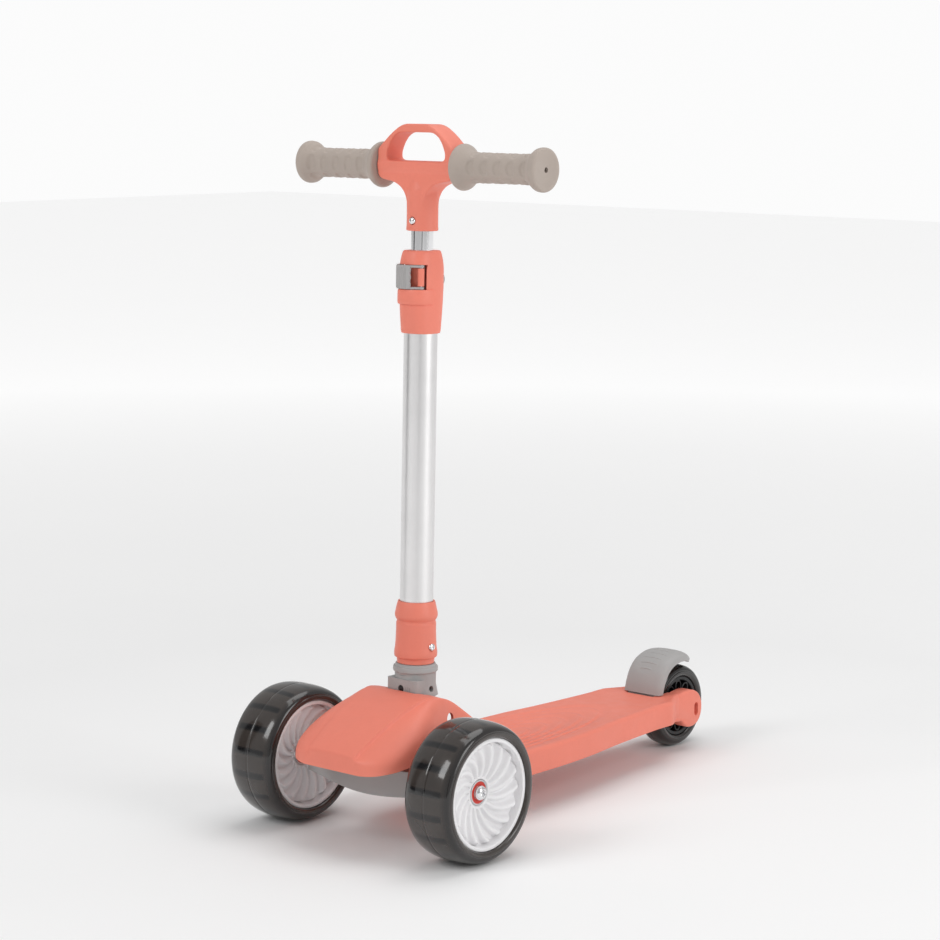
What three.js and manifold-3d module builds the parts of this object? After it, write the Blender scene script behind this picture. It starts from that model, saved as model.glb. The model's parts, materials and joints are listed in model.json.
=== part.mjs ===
// Child's three-wheel kick scooter: two wide lean-to-steer wheels in front, one wheel with a
// foot brake behind, and a folding stem of adjustable height with a T handlebar.
// Millimetres, +Z up, the rider faces -Y. The origin is on the floor, under the middle.
import * as THREE from "three";
import { mergeVertices } from "three/addons/utils/BufferGeometryUtils.js";
import Module from "manifold-3d";

const wasm = await Module();
wasm.setup();

// ---------------------------------------------------------------- driving dimensions
// Inside this file, Y is measured backwards from the front axle.
const WHEELBASE = 430;
const FRONT_TRACK = 200;
const FRONT_RADIUS = 60;
const FRONT_WIDTH = 48.7;
const FRONT_HUB_RADIUS = 47.6;
const FRONT_BOSS_WIDTH = 21.2;
const REAR_RADIUS = 40;
const REAR_WIDTH = 24.7;
const REAR_HUB_RADIUS = 29;
const REAR_BOSS_WIDTH = 20;
const TYRE_LIP = 2.3; // from the tyre's side face in to the hub's rim

const DECK_TOP = 59.3;
const DECK_DEPTH = 23;
const DECK_HALF_WIDTH = 57;
const DECK_SKIN = 3.6;
const RIB = 2.6;
const POCKET_LENGTH = 72; // between the cross ribs under the deck
const NOSE_TOP = 84;
const NOSE_DEPTH = 8;
const NOSE_HALF_WIDTH = 30;
const ARM_OUTER = 30.5;
const ARM_INNER = 16;

const KINGPIN_TILT = 35; // degrees forward of upright
const KINGPIN_HEIGHT = 66;
const KINGPIN_RADIUS = 4;
const CUSHION_RADIUS = 11;
const CUSHION_HEIGHT = 8;
const BEAM_WEB = 5;

const COVER_WALL = 2.6;
const PIVOT_BEHIND = 45.9; // fold pivot, behind the front axle
const PIVOT_HEIGHT = 103;
const PIVOT_BOLT_RADIUS = 4;
const STEM_RAKE = 0.93; // degrees back from upright
const TUBE_RADIUS = 14.4;
const TUBE_WALL = 1.5;
const TUBE_BOTTOM = 30.3; // the stem's heights are measured along it from the fold pivot
const INNER_RADIUS = 9.5;
const INNER_WALL = 1.2;
const INNER_BOTTOM = 125;
const CLAMP_AT = 377;
const TUBE_TOP = CLAMP_AT - 14;
const BAR_AT = CLAMP_AT + 93;
const BAR_RADIUS = 9.5;
const GRIP_END = 132;
const LOOP_TOP = 35; // above the bar's axis

const FENDER_PIVOT_Z = 50;
const FENDER_PIN_RADIUS = 2.5;
const BRAKE_GAP = 2.9; // pad to tyre, with the brake up

const GAP = 0.3; // between pieces that seat on each other
const SLIDE_GAP = 0.4; // round pieces that slide or turn

const AXLE_BOLT_RADIUS = 4;
const FRONT_BEARING = { outer: 11, inner: 4.2, width: 7 };
const REAR_AXLE_RADIUS = 3;
const REAR_BEARING = { outer: 9.5, inner: 3.2, width: 6 };

const ROUND = 28; // facets round a wheel
const STEM = 16; // facets round the stem
const SMALL = 10; // facets round a bolt or pin

// ---------------------------------------------------------------- solids
const degrees = THREE.MathUtils.degToRad;

// A closed mesh as a manifold-3d solid with its faces pointing outwards.
function solid(geometry) {
  const bare = geometry.index ? geometry.toNonIndexed() : geometry.clone();
  bare.deleteAttribute("normal");
  bare.deleteAttribute("uv");
  const merged = mergeVertices(bare, 1e-3);
  const index = merged.index.array;
  const faces = [];
  for (let i = 0; i < index.length; i += 3) {
    const [a, b, c] = [index[i], index[i + 1], index[i + 2]];
    if (a !== b && b !== c && c !== a) faces.push(a, b, c);
  }
  const build = (triVerts) =>
    new wasm.Manifold(
      new wasm.Mesh({
        numProp: 3,
        vertProperties: merged.attributes.position.array,
        triVerts,
      }),
    );
  const made = build(new Uint32Array(faces));
  return made.volume() > 0 ? made : build(new Uint32Array(faces).reverse());
}

function geometryOf(made) {
  const mesh = made.getMesh();
  const geometry = new THREE.BufferGeometry();
  const positions = new THREE.BufferAttribute(new Float32Array(mesh.vertProperties), 3);
  geometry.setAttribute("position", positions);
  geometry.setIndex(new THREE.BufferAttribute(new Uint32Array(mesh.triVerts), 1));
  return geometry;
}

const join = (...pieces) => geometryOf(pieces.map(solid).reduce((a, b) => a.add(b)));
const cut = (piece, ...tools) =>
  geometryOf(tools.map(solid).reduce((a, b) => a.subtract(b), solid(piece)));
const common = (a, b) => geometryOf(solid(a).intersect(solid(b)));
const mirrored = (geometry) => geometryOf(solid(geometry.clone().scale(-1, 1, 1)));

// A body turned about Z from [radius, height] points. A profile off the axis closes on itself.
function turned(profile, facets = SMALL) {
  const points = profile.map(([r, z]) => new THREE.Vector2(r, z));
  if (points[0].x > 0 || points.at(-1).x > 0) points.push(points[0].clone());
  return new THREE.LatheGeometry(points, facets).rotateX(Math.PI / 2);
}

const rod = (radius, from, to, facets = SMALL) =>
  turned([[0, from], [radius, from], [radius, to], [0, to]], facets);
const pipe = (outer, inner, from, to, facets = SMALL) =>
  turned([[inner, from], [outer, from], [outer, to], [inner, to]], facets);
const hexagon = (acrossFlats, from, to) =>
  rod(acrossFlats / Math.sqrt(3), from, to, 6);
const alongX = (geometry) => geometry.rotateY(Math.PI / 2);
const alongY = (geometry) => geometry.rotateX(-Math.PI / 2);

const vector = ([x, y]) => new THREE.Vector2(x, y);

function block(x, y, z) {
  const geometry = new THREE.BoxGeometry(x[1] - x[0], y[1] - y[0], z[1] - z[0]);
  return geometry.translate((x[0] + x[1]) / 2, (y[0] + y[1]) / 2, (z[0] + z[1]) / 2);
}

// A flat outline in X and Y, raised from one height to another, with softened edges.
function plate(shape, from, to, edge = 0, curveSegments = 4) {
  const depth = to - from - 2 * edge;
  const geometry = new THREE.ExtrudeGeometry(shape, {
    depth,
    curveSegments,
    bevelEnabled: edge > 0,
    bevelSize: edge,
    bevelOffset: -edge,
    bevelThickness: edge,
    bevelSegments: 1,
  });
  return geometry.translate(0, 0, from + edge);
}

// An outline drawn in Y (behind the axle) and Z, raised along X from one side to the other.
const sidePlate = (shape, from, to, edge = 0, curveSegments = 4) =>
  plate(shape, from, to, edge, curveSegments).rotateX(Math.PI / 2).rotateZ(Math.PI / 2);

// An outline drawn in X and Z, raised along Y, centred on the bar or beam.
const frontPlate = (shape, from, to, edge = 0, curveSegments = 4) =>
  plate(shape, -to, -from, edge, curveSegments).rotateX(Math.PI / 2);

// Skins a row of outlines that hold the same number of points, and closes both ends.
function loft(outlines, place) {
  const size = outlines[0].length;
  const faces = [];
  const positions = [];
  const rings = outlines.map((ring) =>
    THREE.ShapeUtils.area(ring) < 0 ? [...ring].reverse() : ring,
  );
  rings.forEach((ring, i) => ring.forEach((p) => positions.push(...place(i, p))));
  for (let i = 0; i + 1 < rings.length; i++)
    for (let j = 0; j < size; j++) {
      const [a, b] = [i * size + j, i * size + ((j + 1) % size)];
      faces.push(a, b, b + size, a, b + size, a + size);
    }
  const end = (rings.length - 1) * size;
  for (const [a, b, c] of THREE.ShapeUtils.triangulateShape(rings[0], []))
    faces.push(c, b, a);
  for (const [a, b, c] of THREE.ShapeUtils.triangulateShape(rings.at(-1), []))
    faces.push(end + a, end + b, end + c);
  const geometry = new THREE.BufferGeometry();
  geometry.setAttribute("position", new THREE.Float32BufferAttribute(positions, 3));
  geometry.setIndex(faces);
  return geometry;
}

// A smooth height that passes through [at, value] stations.
function through(stations) {
  const curve = new THREE.SplineCurve(stations.map(([x, v]) => new THREE.Vector2(x, v)));
  const samples = curve.getPoints(stations.length * 12);
  return (at) => {
    const next = samples.findIndex((p) => p.x >= at);
    if (next === 0) return samples[0].y;
    if (next < 0) return samples.at(-1).y;
    const [a, b] = [samples[next - 1], samples[next]];
    return a.y + ((b.y - a.y) * (at - a.x)) / (b.x - a.x);
  };
}

function rounded(halfX, halfY, power, count) {
  const soft = (v) => Math.sign(v) * Math.abs(v) ** (2 / power);
  return Array.from({ length: count }, (_, i) => {
    const turn = (i * 2 * Math.PI) / count;
    return new THREE.Vector2(halfX * soft(Math.cos(turn)), halfY * soft(Math.sin(turn)));
  });
}

const finish = (color, roughness, metalness = 0) =>
  new THREE.MeshStandardMaterial({ color, roughness, metalness });
const MATERIALS = {
  coral: finish(0xf08c78, 0.5),
  grey: finish(0xa7a2a0, 0.55),
  grip: finish(0xbeb4aa, 0.75),
  white: finish(0xf2f0ee, 0.35),
  smoke: finish(0x1c1a19, 0.15),
  black: finish(0x161616, 0.4),
  rubber: finish(0x2b2b2b, 0.8),
  satin: finish(0xc8c4c3, 0.35, 1),
  chrome: finish(0xe2e2e2, 0.08, 1),
  steel: finish(0x9a9a9c, 0.3, 1),
  seal: finish(0xc8352b, 0.45),
};

function add(group, name, geometry, material) {
  const flat = geometry.index ? geometry.toNonIndexed() : geometry;
  flat.computeVertexNormals();
  const mesh = new THREE.Mesh(flat, material);
  mesh.name = name;
  group.add(mesh);
}

// ---------------------------------------------------------------- wheels, about local Z
// Tread of a wide wheel: nearly flat across, with round shoulders.
function tyre(radius, width, bore, shoulder, lip, steps) {
  const half = width / 2;
  const base = radius - shoulder;
  const tread = [];
  for (let i = 0; i <= steps; i++) {
    const across = Math.sin(((i / steps) * 2 - 1) * (Math.PI / 2));
    const rise = (1 - Math.abs(across) ** 2.6) ** (1 / 2.6);
    tread.push([base + shoulder * rise, half * across]);
  }
  const seat = bore + GAP;
  return turned(
    [[seat, half - lip], [seat, -half + lip], [seat + 2, -half], ...tread, [seat + 2, half]],
    ROUND,
  );
}

// White front hub: a flat web with swirled ribs on both sides, a rim and a bearing boss.
const FRONT_RIBS = 17;
const RIB_SWIRL = 30; // degrees round from the boss to the rim
const FRONT_WEB = 12; // half of the web's thickness

function frontHub() {
  const rim = FRONT_WIDTH / 2 - TYRE_LIP;
  const boss = FRONT_BOSS_WIDTH / 2;
  const rimInner = FRONT_HUB_RADIUS - 4;
  const bossRadius = FRONT_BEARING.outer + 3;
  const half = [
    [FRONT_BEARING.outer + GAP, boss],
    [bossRadius, boss],
    [bossRadius, FRONT_WEB],
    [rimInner, FRONT_WEB],
    [rimInner, rim],
    [FRONT_HUB_RADIUS, rim],
  ];
  const body = turned([...half, ...mirrorDown(half)], ROUND);
  const ribs = [];
  for (let i = 0; i < FRONT_RIBS; i++)
    ribs.push(swirlRib([bossRadius - 1, boss - 0.6], [rimInner + 1, rim - 1], i));
  return join(body, spacerSeat(FRONT_BEARING, boss), ...ribs);
}

const mirrorDown = (points) => [...points].reverse().map(([r, z]) => [r, -z]);

// A rib that turns as it runs outwards and grows from one [radius, half height] to another.
function swirlRib(from, to, index) {
  const share = [0, 0.6, 1];
  const radius = share.map((t) => THREE.MathUtils.lerp(from[0], to[0], t));
  const outlines = share.map((t) => {
    const [wide, high] = [0.9 + 1.3 * t, THREE.MathUtils.lerp(from[1], to[1], t)];
    return [[-wide, -high], [wide, -high], [wide, high], [-wide, high]].map(vector);
  });
  return loft(outlines, (i, p) => {
    const along = degrees((index * 360) / FRONT_RIBS + RIB_SWIRL * share[i] ** 1.4);
    const turn = along + p.x / radius[i];
    return [radius[i] * Math.cos(turn), radius[i] * Math.sin(turn), p.y];
  });
}

// The ring inside a hub that keeps its two bearings apart.
function spacerSeat(bearing, boss) {
  const reach = boss - bearing.width - GAP;
  const outer = bearing.outer + 1;
  return pipe(outer, bearing.outer - 2, -reach, reach, ROUND);
}

function bearing(size) {
  return pipe(size.outer, size.inner, -size.width / 2, size.width / 2, 16);
}

// Black rear hub with five spokes on each side of a thin web.
function rearHub() {
  const rim = REAR_WIDTH / 2 - TYRE_LIP;
  const boss = REAR_BOSS_WIDTH / 2;
  const bossRadius = REAR_BEARING.outer + 2.5;
  const seat = REAR_BEARING.outer + GAP;
  const half = [
    [seat, boss],
    [bossRadius, boss],
    [bossRadius, 2],
    [REAR_HUB_RADIUS - 3.5, 2],
    [REAR_HUB_RADIUS - 3.5, rim],
    [REAR_HUB_RADIUS, rim],
  ];
  const body = turned([...half, ...mirrorDown(half)], ROUND);
  const spokes = [];
  for (let i = 0; i < 5; i++) {
    const spoke = block([bossRadius - 1, REAR_HUB_RADIUS - 3], [-2.5, 2.5], [1 - boss, boss - 1]);
    spokes.push(spoke.rotateZ(degrees(i * 72)));
  }
  return join(body, spacerSeat(REAR_BEARING, boss), ...spokes);
}

// A bolt along Z: a domed head above `seat`, with a hexagon socket, and its shank below.
function bolt(radius, seat, tip, headRadius, headHeight) {
  const head = turned(
    [
      [0, tip],
      [radius, tip],
      [radius, seat],
      [headRadius, seat],
      [headRadius, seat + headHeight * 0.4],
      [headRadius * 0.8, seat + headHeight * 0.85],
      [headRadius * 0.5, seat + headHeight],
      [0, seat + headHeight],
    ],
  );
  const socket = hexagon(headRadius * 0.8, seat + headHeight * 0.4, seat + headHeight + 1);
  return cut(head, socket);
}

// ---------------------------------------------------------------- deck
const DECK_BOTTOM = DECK_TOP - DECK_DEPTH;
const REAR_AXLE = WHEELBASE;
const WHEEL_FRONT = REAR_AXLE - REAR_RADIUS;
const SLOT_FRONT = WHEEL_FRONT - 13;
const FENDER_PIVOT = WHEEL_FRONT - 6;
const BOARD_FRONT = 38;
const ARM_TIP = REAR_AXLE + 10.5;

// Half of the board's plan, widest ahead of the feet, waisted towards the rear fork.
function boardPlan(inset, rearEnd) {
  const w = DECK_HALF_WIDTH;
  const waist = w - 13;
  const right = [
    [w - 9, BOARD_FRONT],
    [w - 3, 0.2 * WHEELBASE],
    [w, 0.4 * WHEELBASE],
    [w - 2, 0.53 * WHEELBASE],
    [w - 8, 0.65 * WHEELBASE],
    [waist, 0.8 * WHEELBASE],
    [waist, SLOT_FRONT - 8],
  ].map(([x, y]) => new THREE.Vector2(x - inset, Math.max(y, BOARD_FRONT + inset)));
  const shape = new THREE.Shape();
  shape.moveTo(-right[0].x, right[0].y);
  shape.lineTo(right[0].x, right[0].y);
  shape.splineThru(right.slice(1));
  if (rearEnd) {
    const [bend, end] = [ARM_OUTER + 2.5, SLOT_FRONT + 25];
    shape.bezierCurveTo(waist, SLOT_FRONT + 3, bend, SLOT_FRONT + 10, ARM_OUTER, end);
    shape.lineTo(-ARM_OUTER, end);
    shape.bezierCurveTo(-bend, SLOT_FRONT + 10, -waist, SLOT_FRONT + 3, inset - waist, SLOT_FRONT - 8);
  } else {
    shape.lineTo(-waist + inset, SLOT_FRONT - 8);
  }
  const left = right.slice(1, -1).reverse().map((p) => new THREE.Vector2(-p.x, p.y));
  shape.splineThru(left);
  shape.closePath();
  return shape;
}

function armSide() {
  const shape = new THREE.Shape();
  const low = DECK_BOTTOM;
  shape.moveTo(SLOT_FRONT - 20, low);
  shape.quadraticCurveTo(SLOT_FRONT + 8, low - 5, WHEEL_FRONT + 7, low - 4);
  shape.lineTo(WHEEL_FRONT + 17, low - 5);
  shape.quadraticCurveTo(WHEEL_FRONT + 24, low - 13, REAR_AXLE - 8, low - 13);
  shape.bezierCurveTo(REAR_AXLE + 5, low - 14, ARM_TIP, low - 5, ARM_TIP, low + 5);
  shape.bezierCurveTo(ARM_TIP, low + 14, REAR_AXLE + 5, DECK_TOP + 1, REAR_AXLE - 12, DECK_TOP + 1);
  shape.quadraticCurveTo(WHEEL_FRONT + 12, DECK_TOP, SLOT_FRONT - 20, DECK_TOP - 1);
  shape.closePath();
  return shape;
}

// The raised nose under the cover, which carries the kingpin and the stem's bracket.
function noseSide() {
  const under = NOSE_TOP - NOSE_DEPTH;
  return new THREE.Shape(
    [
      [-42, under],
      [30, under],
      [37, under - 4],
      [BOARD_FRONT + 1, DECK_BOTTOM + 6],
      [BOARD_FRONT + 8, DECK_BOTTOM + 6],
      [80, DECK_TOP - 8],
      [84, DECK_TOP - 2],
      [76, DECK_TOP + 15],
      [66, NOSE_TOP],
      [-42, NOSE_TOP],
    ].map(vector),
  );
}

const SCREWS = { x: 20, y: -37, radius: 1.7, head: 3.6 };

// Places a piece made about local Z on the kingpin's axis.
const onKingpin = (geometry) =>
  geometry.rotateX(degrees(KINGPIN_TILT)).translate(0, 0, KINGPIN_HEIGHT);
const KINGPIN_SEATS = {
  beamTop: BEAM_WEB,
  noseUnder: BEAM_WEB + CUSHION_HEIGHT + 2 * GAP,
  noseTop: BEAM_WEB + CUSHION_HEIGHT + 2 * GAP + 12.4,
};

function undersidePockets() {
  const ceiling = DECK_TOP - DECK_SKIN;
  const hollow = plate(boardPlan(RIB + 1.2, false), DECK_BOTTOM - 1, ceiling, 0, 2);
  const ribs = [block([-RIB / 2, RIB / 2], [0, WHEELBASE], [0, ceiling])];
  const first = 86;
  const count = Math.round((SLOT_FRONT - first) / POCKET_LENGTH);
  for (let i = 0; i < count; i++) {
    const y = first + (i * (SLOT_FRONT - 8 - first)) / count;
    ribs.push(block([-DECK_HALF_WIDTH, DECK_HALF_WIDTH], [y - RIB / 2, y + RIB / 2], [0, ceiling]));
  }
  ribs.push(block([-DECK_HALF_WIDTH, DECK_HALF_WIDTH], [0, first], [0, ceiling]));
  return cut(hollow, ...ribs);
}

function deck() {
  const board = plate(boardPlan(0, true), DECK_BOTTOM, DECK_TOP, 3, 3);
  const arm = sidePlate(armSide(), ARM_INNER, ARM_OUTER, 1.5);
  const nose = sidePlate(noseSide(), -NOSE_HALF_WIDTH, NOSE_HALF_WIDTH);
  const boss = onKingpin(rod(14, KINGPIN_SEATS.noseUnder, KINGPIN_SEATS.noseTop, 28));
  const slot = block([-ARM_INNER, ARM_INNER], [SLOT_FRONT, WHEELBASE + 20], [0, 100]);
  const pocket = new THREE.Shape();
  const [tall, wide] = [6.5, 3];
  pocket.moveTo(REAR_AXLE + wide, REAR_RADIUS - tall + wide);
  pocket.absarc(REAR_AXLE, REAR_RADIUS + tall - wide, wide, 0, Math.PI);
  pocket.absarc(REAR_AXLE, REAR_RADIUS - tall + wide, wide, Math.PI, 2 * Math.PI);
  const recess = ARM_OUTER - 5;
  const tools = [
    slot,
    undersidePockets(),
    sidePlate(pocket, recess, ARM_OUTER + 5),
    sidePlate(pocket, -ARM_OUTER - 5, -recess),
    alongX(rod(REAR_AXLE_RADIUS + GAP, -recess - 1, recess + 1)).translate(
      0,
      REAR_AXLE,
      REAR_RADIUS,
    ),
    alongX(rod(FENDER_PIN_RADIUS + GAP, -ARM_OUTER + 6, ARM_OUTER - 6)).translate(
      0,
      FENDER_PIVOT,
      FENDER_PIVOT_Z,
    ),
    onKingpin(rod(KINGPIN_RADIUS + SLIDE_GAP, -20, 60)),
    onKingpin(rod(9, KINGPIN_SEATS.noseTop, 60)),
    onKingpin(rod(CUSHION_RADIUS + 1.5, -40, KINGPIN_SEATS.noseUnder, STEM)),
    onKingpin(rod(18, -40, KINGPIN_SEATS.beamTop + 3.5, STEM)),
  ];
  for (const side of [-1, 1])
    tools.push(
      rod(SCREWS.radius + GAP, NOSE_TOP - NOSE_DEPTH - 1, NOSE_TOP + 1, 12).translate(
        side * SCREWS.x,
        SCREWS.y,
        0,
      ),
    );
  return cut(join(board, arm, mirrored(arm), nose, boss), ...tools);
}

// ---------------------------------------------------------------- front cover
// Stations behind the front axle: half width, height of the roof, height of the hem.
const COVER_HALF_WIDTH = 62;
const COVER_ROOF = 124.5;
const HEM_ON_DECK = DECK_TOP + GAP;
const coverWidth = through([
  [-61, 0.56], [-58, 0.72], [-52, 0.85], [-40, 0.94], [-24, 0.97], [-8, 0.95],
  [8, 0.87], [24, 0.76], [40, 0.68], [56, 0.66], [80, 0.71], [100, 0.77], [116, 0.82],
]);
const coverRoof = through([
  [-61, 0], [-50, 0.19], [-38, 0.37], [-24, 0.56], [-8, 0.755], [8, 0.91],
  [22, 0.99], [34, 0.95], [46, 0.86], [56, 0.73], [68, 0.5], [80, 0.25],
  [92, -0.05], [104, -0.38], [116, -0.62],
]);
const coverHem = through([
  [-61, 72], [-52, 74], [-40, 76], [-24, 78.5], [0, 79.5], [18, 79.5], [26, 78.3],
  [34, 72], [44, 63.5], [54, HEM_ON_DECK],
]);
const FRONT_LIP_TOP = 86.5;

// Half of the arch across the cover: a flat panel to the crease, then a lobe down to the hem.
function coverArch(y, inset) {
  const half = COVER_HALF_WIDTH * coverWidth(y) - inset;
  const roof = FRONT_LIP_TOP + (COVER_ROOF - FRONT_LIP_TOP) * coverRoof(y) - inset;
  const hem = Math.min(y > 52 ? HEM_ON_DECK : coverHem(y), roof - 0.8);
  const crease = Math.min(24.8 + 0.108 * (y + 60), half - 7);
  const step = 1.8 * THREE.MathUtils.clamp((40 - y) / 30, 0, 1);
  const points = [
    [0, roof + 0.8],
    [crease * 0.55, roof + 0.5],
    [crease, roof],
    [crease + 1.4, roof - step],
  ];
  const steps = 5;
  for (let i = 1; i <= steps; i++) {
    const turn = (i / steps) * (Math.PI / 2);
    const out = (half - crease - 1.4) * Math.sin(turn);
    const up = (roof - step - hem) * Math.cos(turn) ** 0.62;
    points.push([crease + 1.4 + out, hem + (i === steps ? 0 : up)]);
  }
  return points;
}

function coverOutline(y, inset, skirt) {
  const arch = coverArch(y, inset);
  if (skirt) arch.push([arch.at(-1)[0], arch.at(-1)[1] - skirt]);
  const left = arch.slice(1).reverse().map(([x, z]) => [-x, z]);
  return [...left, ...arch].map(vector);
}

const COVER_AT = [
  -61, -59, -56, -51, -44, -35, -24, -12, 0, 12, 24, 34, 44, 54, 64, 74, 84, 94, 105, 116,
];

function frontCover() {
  const outer = loft(COVER_AT.map((y) => coverOutline(y, 0, 0)), (i, p) => [p.x, COVER_AT[i], p.y]);
  const inside = COVER_AT.filter((y, i) => y > -58 && y < 100 && i % 2 === 0);
  const hollow = loft(
    inside.map((y) => coverOutline(y, COVER_WALL, 12)),
    (i, p) => [p.x, inside[i], p.y],
  );
  const bosses = [-1, 1].map((side) =>
    rod(4.4, NOSE_TOP + GAP, coverArch(SCREWS.y, COVER_WALL)[2][1] + 1, 14).translate(
      side * SCREWS.x,
      SCREWS.y,
      0,
    ),
  );
  const boltHoles = alongX(rod(5, -80, 80)).translate(0, PIVOT_BEHIND, PIVOT_HEIGHT);
  const [neckSlot, stemSlot] = [KNUCKLE.half + 0.8, KNUCKLE.flare + 0.6];
  const slots = [
    block([-neckSlot, neckSlot], [PIVOT_BEHIND - KNUCKLE.front - 0.7, 36], [90, 140]),
    block([-stemSlot, stemSlot], [34, 92], [HEM_ON_DECK + 2, 140]),
  ];
  const holes = [-1, 1].map((side) =>
    rod(SCREWS.radius + 0.2, 60, NOSE_TOP + 12, 12).translate(side * SCREWS.x, SCREWS.y, 0),
  );
  return cut(join(cut(outer, hollow), ...bosses), boltHoles, ...slots, ...holes);
}

// ---------------------------------------------------------------- truck
const BEAM_END = FRONT_TRACK / 2 - FRONT_WIDTH / 2 - 3.5;
const AXLE_STUB = FRONT_TRACK / 2 - FRONT_BOSS_WIDTH / 2 - GAP;

function truckBeam() {
  const end = BEAM_END;
  const face = new THREE.Shape();
  face.moveTo(-end, FRONT_RADIUS - 10);
  face.bezierCurveTo(-end * 0.7, 47.5, -end * 0.35, 43.5, 0, 43.5);
  face.bezierCurveTo(end * 0.35, 43.5, end * 0.7, 47.5, end, FRONT_RADIUS - 10);
  face.lineTo(end, FRONT_RADIUS + 9.5);
  face.quadraticCurveTo(0, FRONT_RADIUS + 7, -end, FRONT_RADIUS + 9.5);
  const plan = new THREE.Shape();
  plan.moveTo(-end, -12);
  plan.bezierCurveTo(-end * 0.6, -13, -end * 0.5, -20, 0, -20);
  plan.bezierCurveTo(end * 0.5, -20, end * 0.6, -13, end, -12);
  plan.lineTo(end, 12);
  plan.bezierCurveTo(end * 0.6, 13, end * 0.55, 32, 0, STEM);
  plan.bezierCurveTo(-end * 0.55, 32, -end * 0.6, 13, -end, 12);
  const body = common(frontPlate(face, -40, 40, 0, 8), plate(plan, 0, 100, 0, 8));
  const stub = alongX(rod(8.5, 0, AXLE_STUB)).translate(0, 0, FRONT_RADIUS);
  const boss = onKingpin(rod(15, -BEAM_WEB - 4, KINGPIN_SEATS.beamTop, 28));
  const bore = alongX(rod(AXLE_BOLT_RADIUS + GAP, 60, AXLE_STUB + 5));
  bore.translate(0, 0, FRONT_RADIUS);
  return cut(
    join(body, stub, mirrored(stub), boss),
    onKingpin(rod(KINGPIN_RADIUS + SLIDE_GAP, -60, 60)),
    onKingpin(rod(CUSHION_RADIUS + 1.5, -60, -BEAM_WEB, 28)),
    onKingpin(rod(16.5, BEAM_WEB, 60, STEM)),
    bore,
    mirrored(bore),
  );
}

// ---------------------------------------------------------------- stem, along local Z
const KNUCKLE = { half: 16.6, front: 18.9, flare: 20, neck: 17.9, tongue: 12 };
const BUTTON_AT = 23;

function hingeKnuckle() {
  const socket = TUBE_RADIUS + GAP;
  const neck = turned(
    [
      [0, 16],
      [KNUCKLE.flare, 16],
      [KNUCKLE.neck + 1.1, 20],
      [KNUCKLE.neck, 27],
      [KNUCKLE.neck, 35.5],
      [KNUCKLE.neck + 1.5, 37],
      [KNUCKLE.neck + 1.5, 40.5],
      [KNUCKLE.neck - 0.5, 43.6],
      [0, 43.6],
    ],
    STEM,
  );
  const front = -KNUCKLE.front;
  const clipped = common(neck, block([-30, 30], [front, 30], [0, 60]));
  const housing = new THREE.Shape();
  housing.moveTo(-KNUCKLE.half, 2);
  housing.lineTo(-KNUCKLE.half, front + 4);
  housing.quadraticCurveTo(-KNUCKLE.half, front, -KNUCKLE.half + 4, front);
  housing.lineTo(KNUCKLE.half - 4, front);
  housing.quadraticCurveTo(KNUCKLE.half, front, KNUCKLE.half, front + 4);
  housing.lineTo(KNUCKLE.half, 2);
  const tongueSide = new THREE.Shape();
  tongueSide.moveTo(-13, 18);
  tongueSide.lineTo(-13, 0);
  tongueSide.absarc(0, 0, 13, Math.PI, 2 * Math.PI);
  tongueSide.lineTo(13, 18);
  return cut(
    join(
      clipped,
      plate(housing, 16, 31.2, 0.8),
      sidePlate(tongueSide, -KNUCKLE.tongue, KNUCKLE.tongue),
    ),
    rod(socket, TUBE_BOTTOM - GAP, 60, STEM),
    alongX(rod(PIVOT_BOLT_RADIUS + SLIDE_GAP, -30, 30)),
    alongX(rod(2.7, -30, 30)).translate(0, 0, 22.5),
    alongY(rod(3.1, 3.5, 30)).rotateZ(Math.PI).translate(0, 0, BUTTON_AT),
  );
}

const SLEEVE_SCREW = { at: 59, radius: 2, head: 3.3, seat: TUBE_RADIUS + 3.1 };

function lowerSleeve() {
  const bore = TUBE_RADIUS + GAP;
  const sleeve = turned(
    [
      [bore, 44],
      [bore + 1.3, 44],
      [bore + 1.6, 48.5],
      [bore + 3.6, 49.2],
      [bore + 3.9, 53],
      [bore + 3, 62],
      [bore + 2.6, 73],
      [bore + 2.5, 79],
      [bore + 2.1, 80.5],
      [bore + 2.5, 82],
      [bore + 3.6, 84],
      [bore + 3.8, 87.5],
      [bore + 2.2, 95],
      [bore + 1.5, 98],
      [bore, 98],
    ],
    STEM,
  );
  return cut(
    sleeve,
    alongX(rod(SLEEVE_SCREW.radius + GAP, 0, 40)).translate(0, 0, SLEEVE_SCREW.at),
    alongX(rod(SLEEVE_SCREW.head + 0.4, SLEEVE_SCREW.seat, 40)).translate(0, 0, SLEEVE_SCREW.at),
  );
}

function stemTube() {
  const tube = pipe(TUBE_RADIUS, TUBE_RADIUS - TUBE_WALL, TUBE_BOTTOM, TUBE_TOP, STEM);
  const hole = alongX(rod(SLEEVE_SCREW.radius + GAP, 0, 40));
  return cut(tube, hole.translate(0, 0, SLEEVE_SCREW.at));
}

// The clamp is drawn about its own middle, the height of the lever's pin.
const CLAMP = {
  halfX: TUBE_RADIUS + 1.6,
  halfY: TUBE_RADIUS + 5.1,
  corners: 2.5,
  window: 10.5,
  bottom: -48,
  top: 22,
};
const BAND_BOTTOM = -23; // the proud band under the window
const WINDOW_REAR = -3.6;
const LEVER_PIN = { x: TUBE_RADIUS - 4, y: 1.8 - TUBE_RADIUS, radius: 1.5 };
const BAND = { inner: INNER_RADIUS + 0.35, outer: 13.1 };
const REAR_BUTTON = { z: -3, radius: 7, travel: 2, innerEnd: 15.6, rim: 22, dome: 24.5 };

// A rounded column through stations: height, then shares of the clamp's full width and depth.
function clampColumn(stations) {
  const outlines = stations.map(([, wide, deep]) =>
    rounded(CLAMP.halfX * wide, CLAMP.halfY * deep, CLAMP.corners, STEM),
  );
  return loft(outlines, (i, p) => [p.x, p.y, stations[i][0]]);
}

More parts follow.
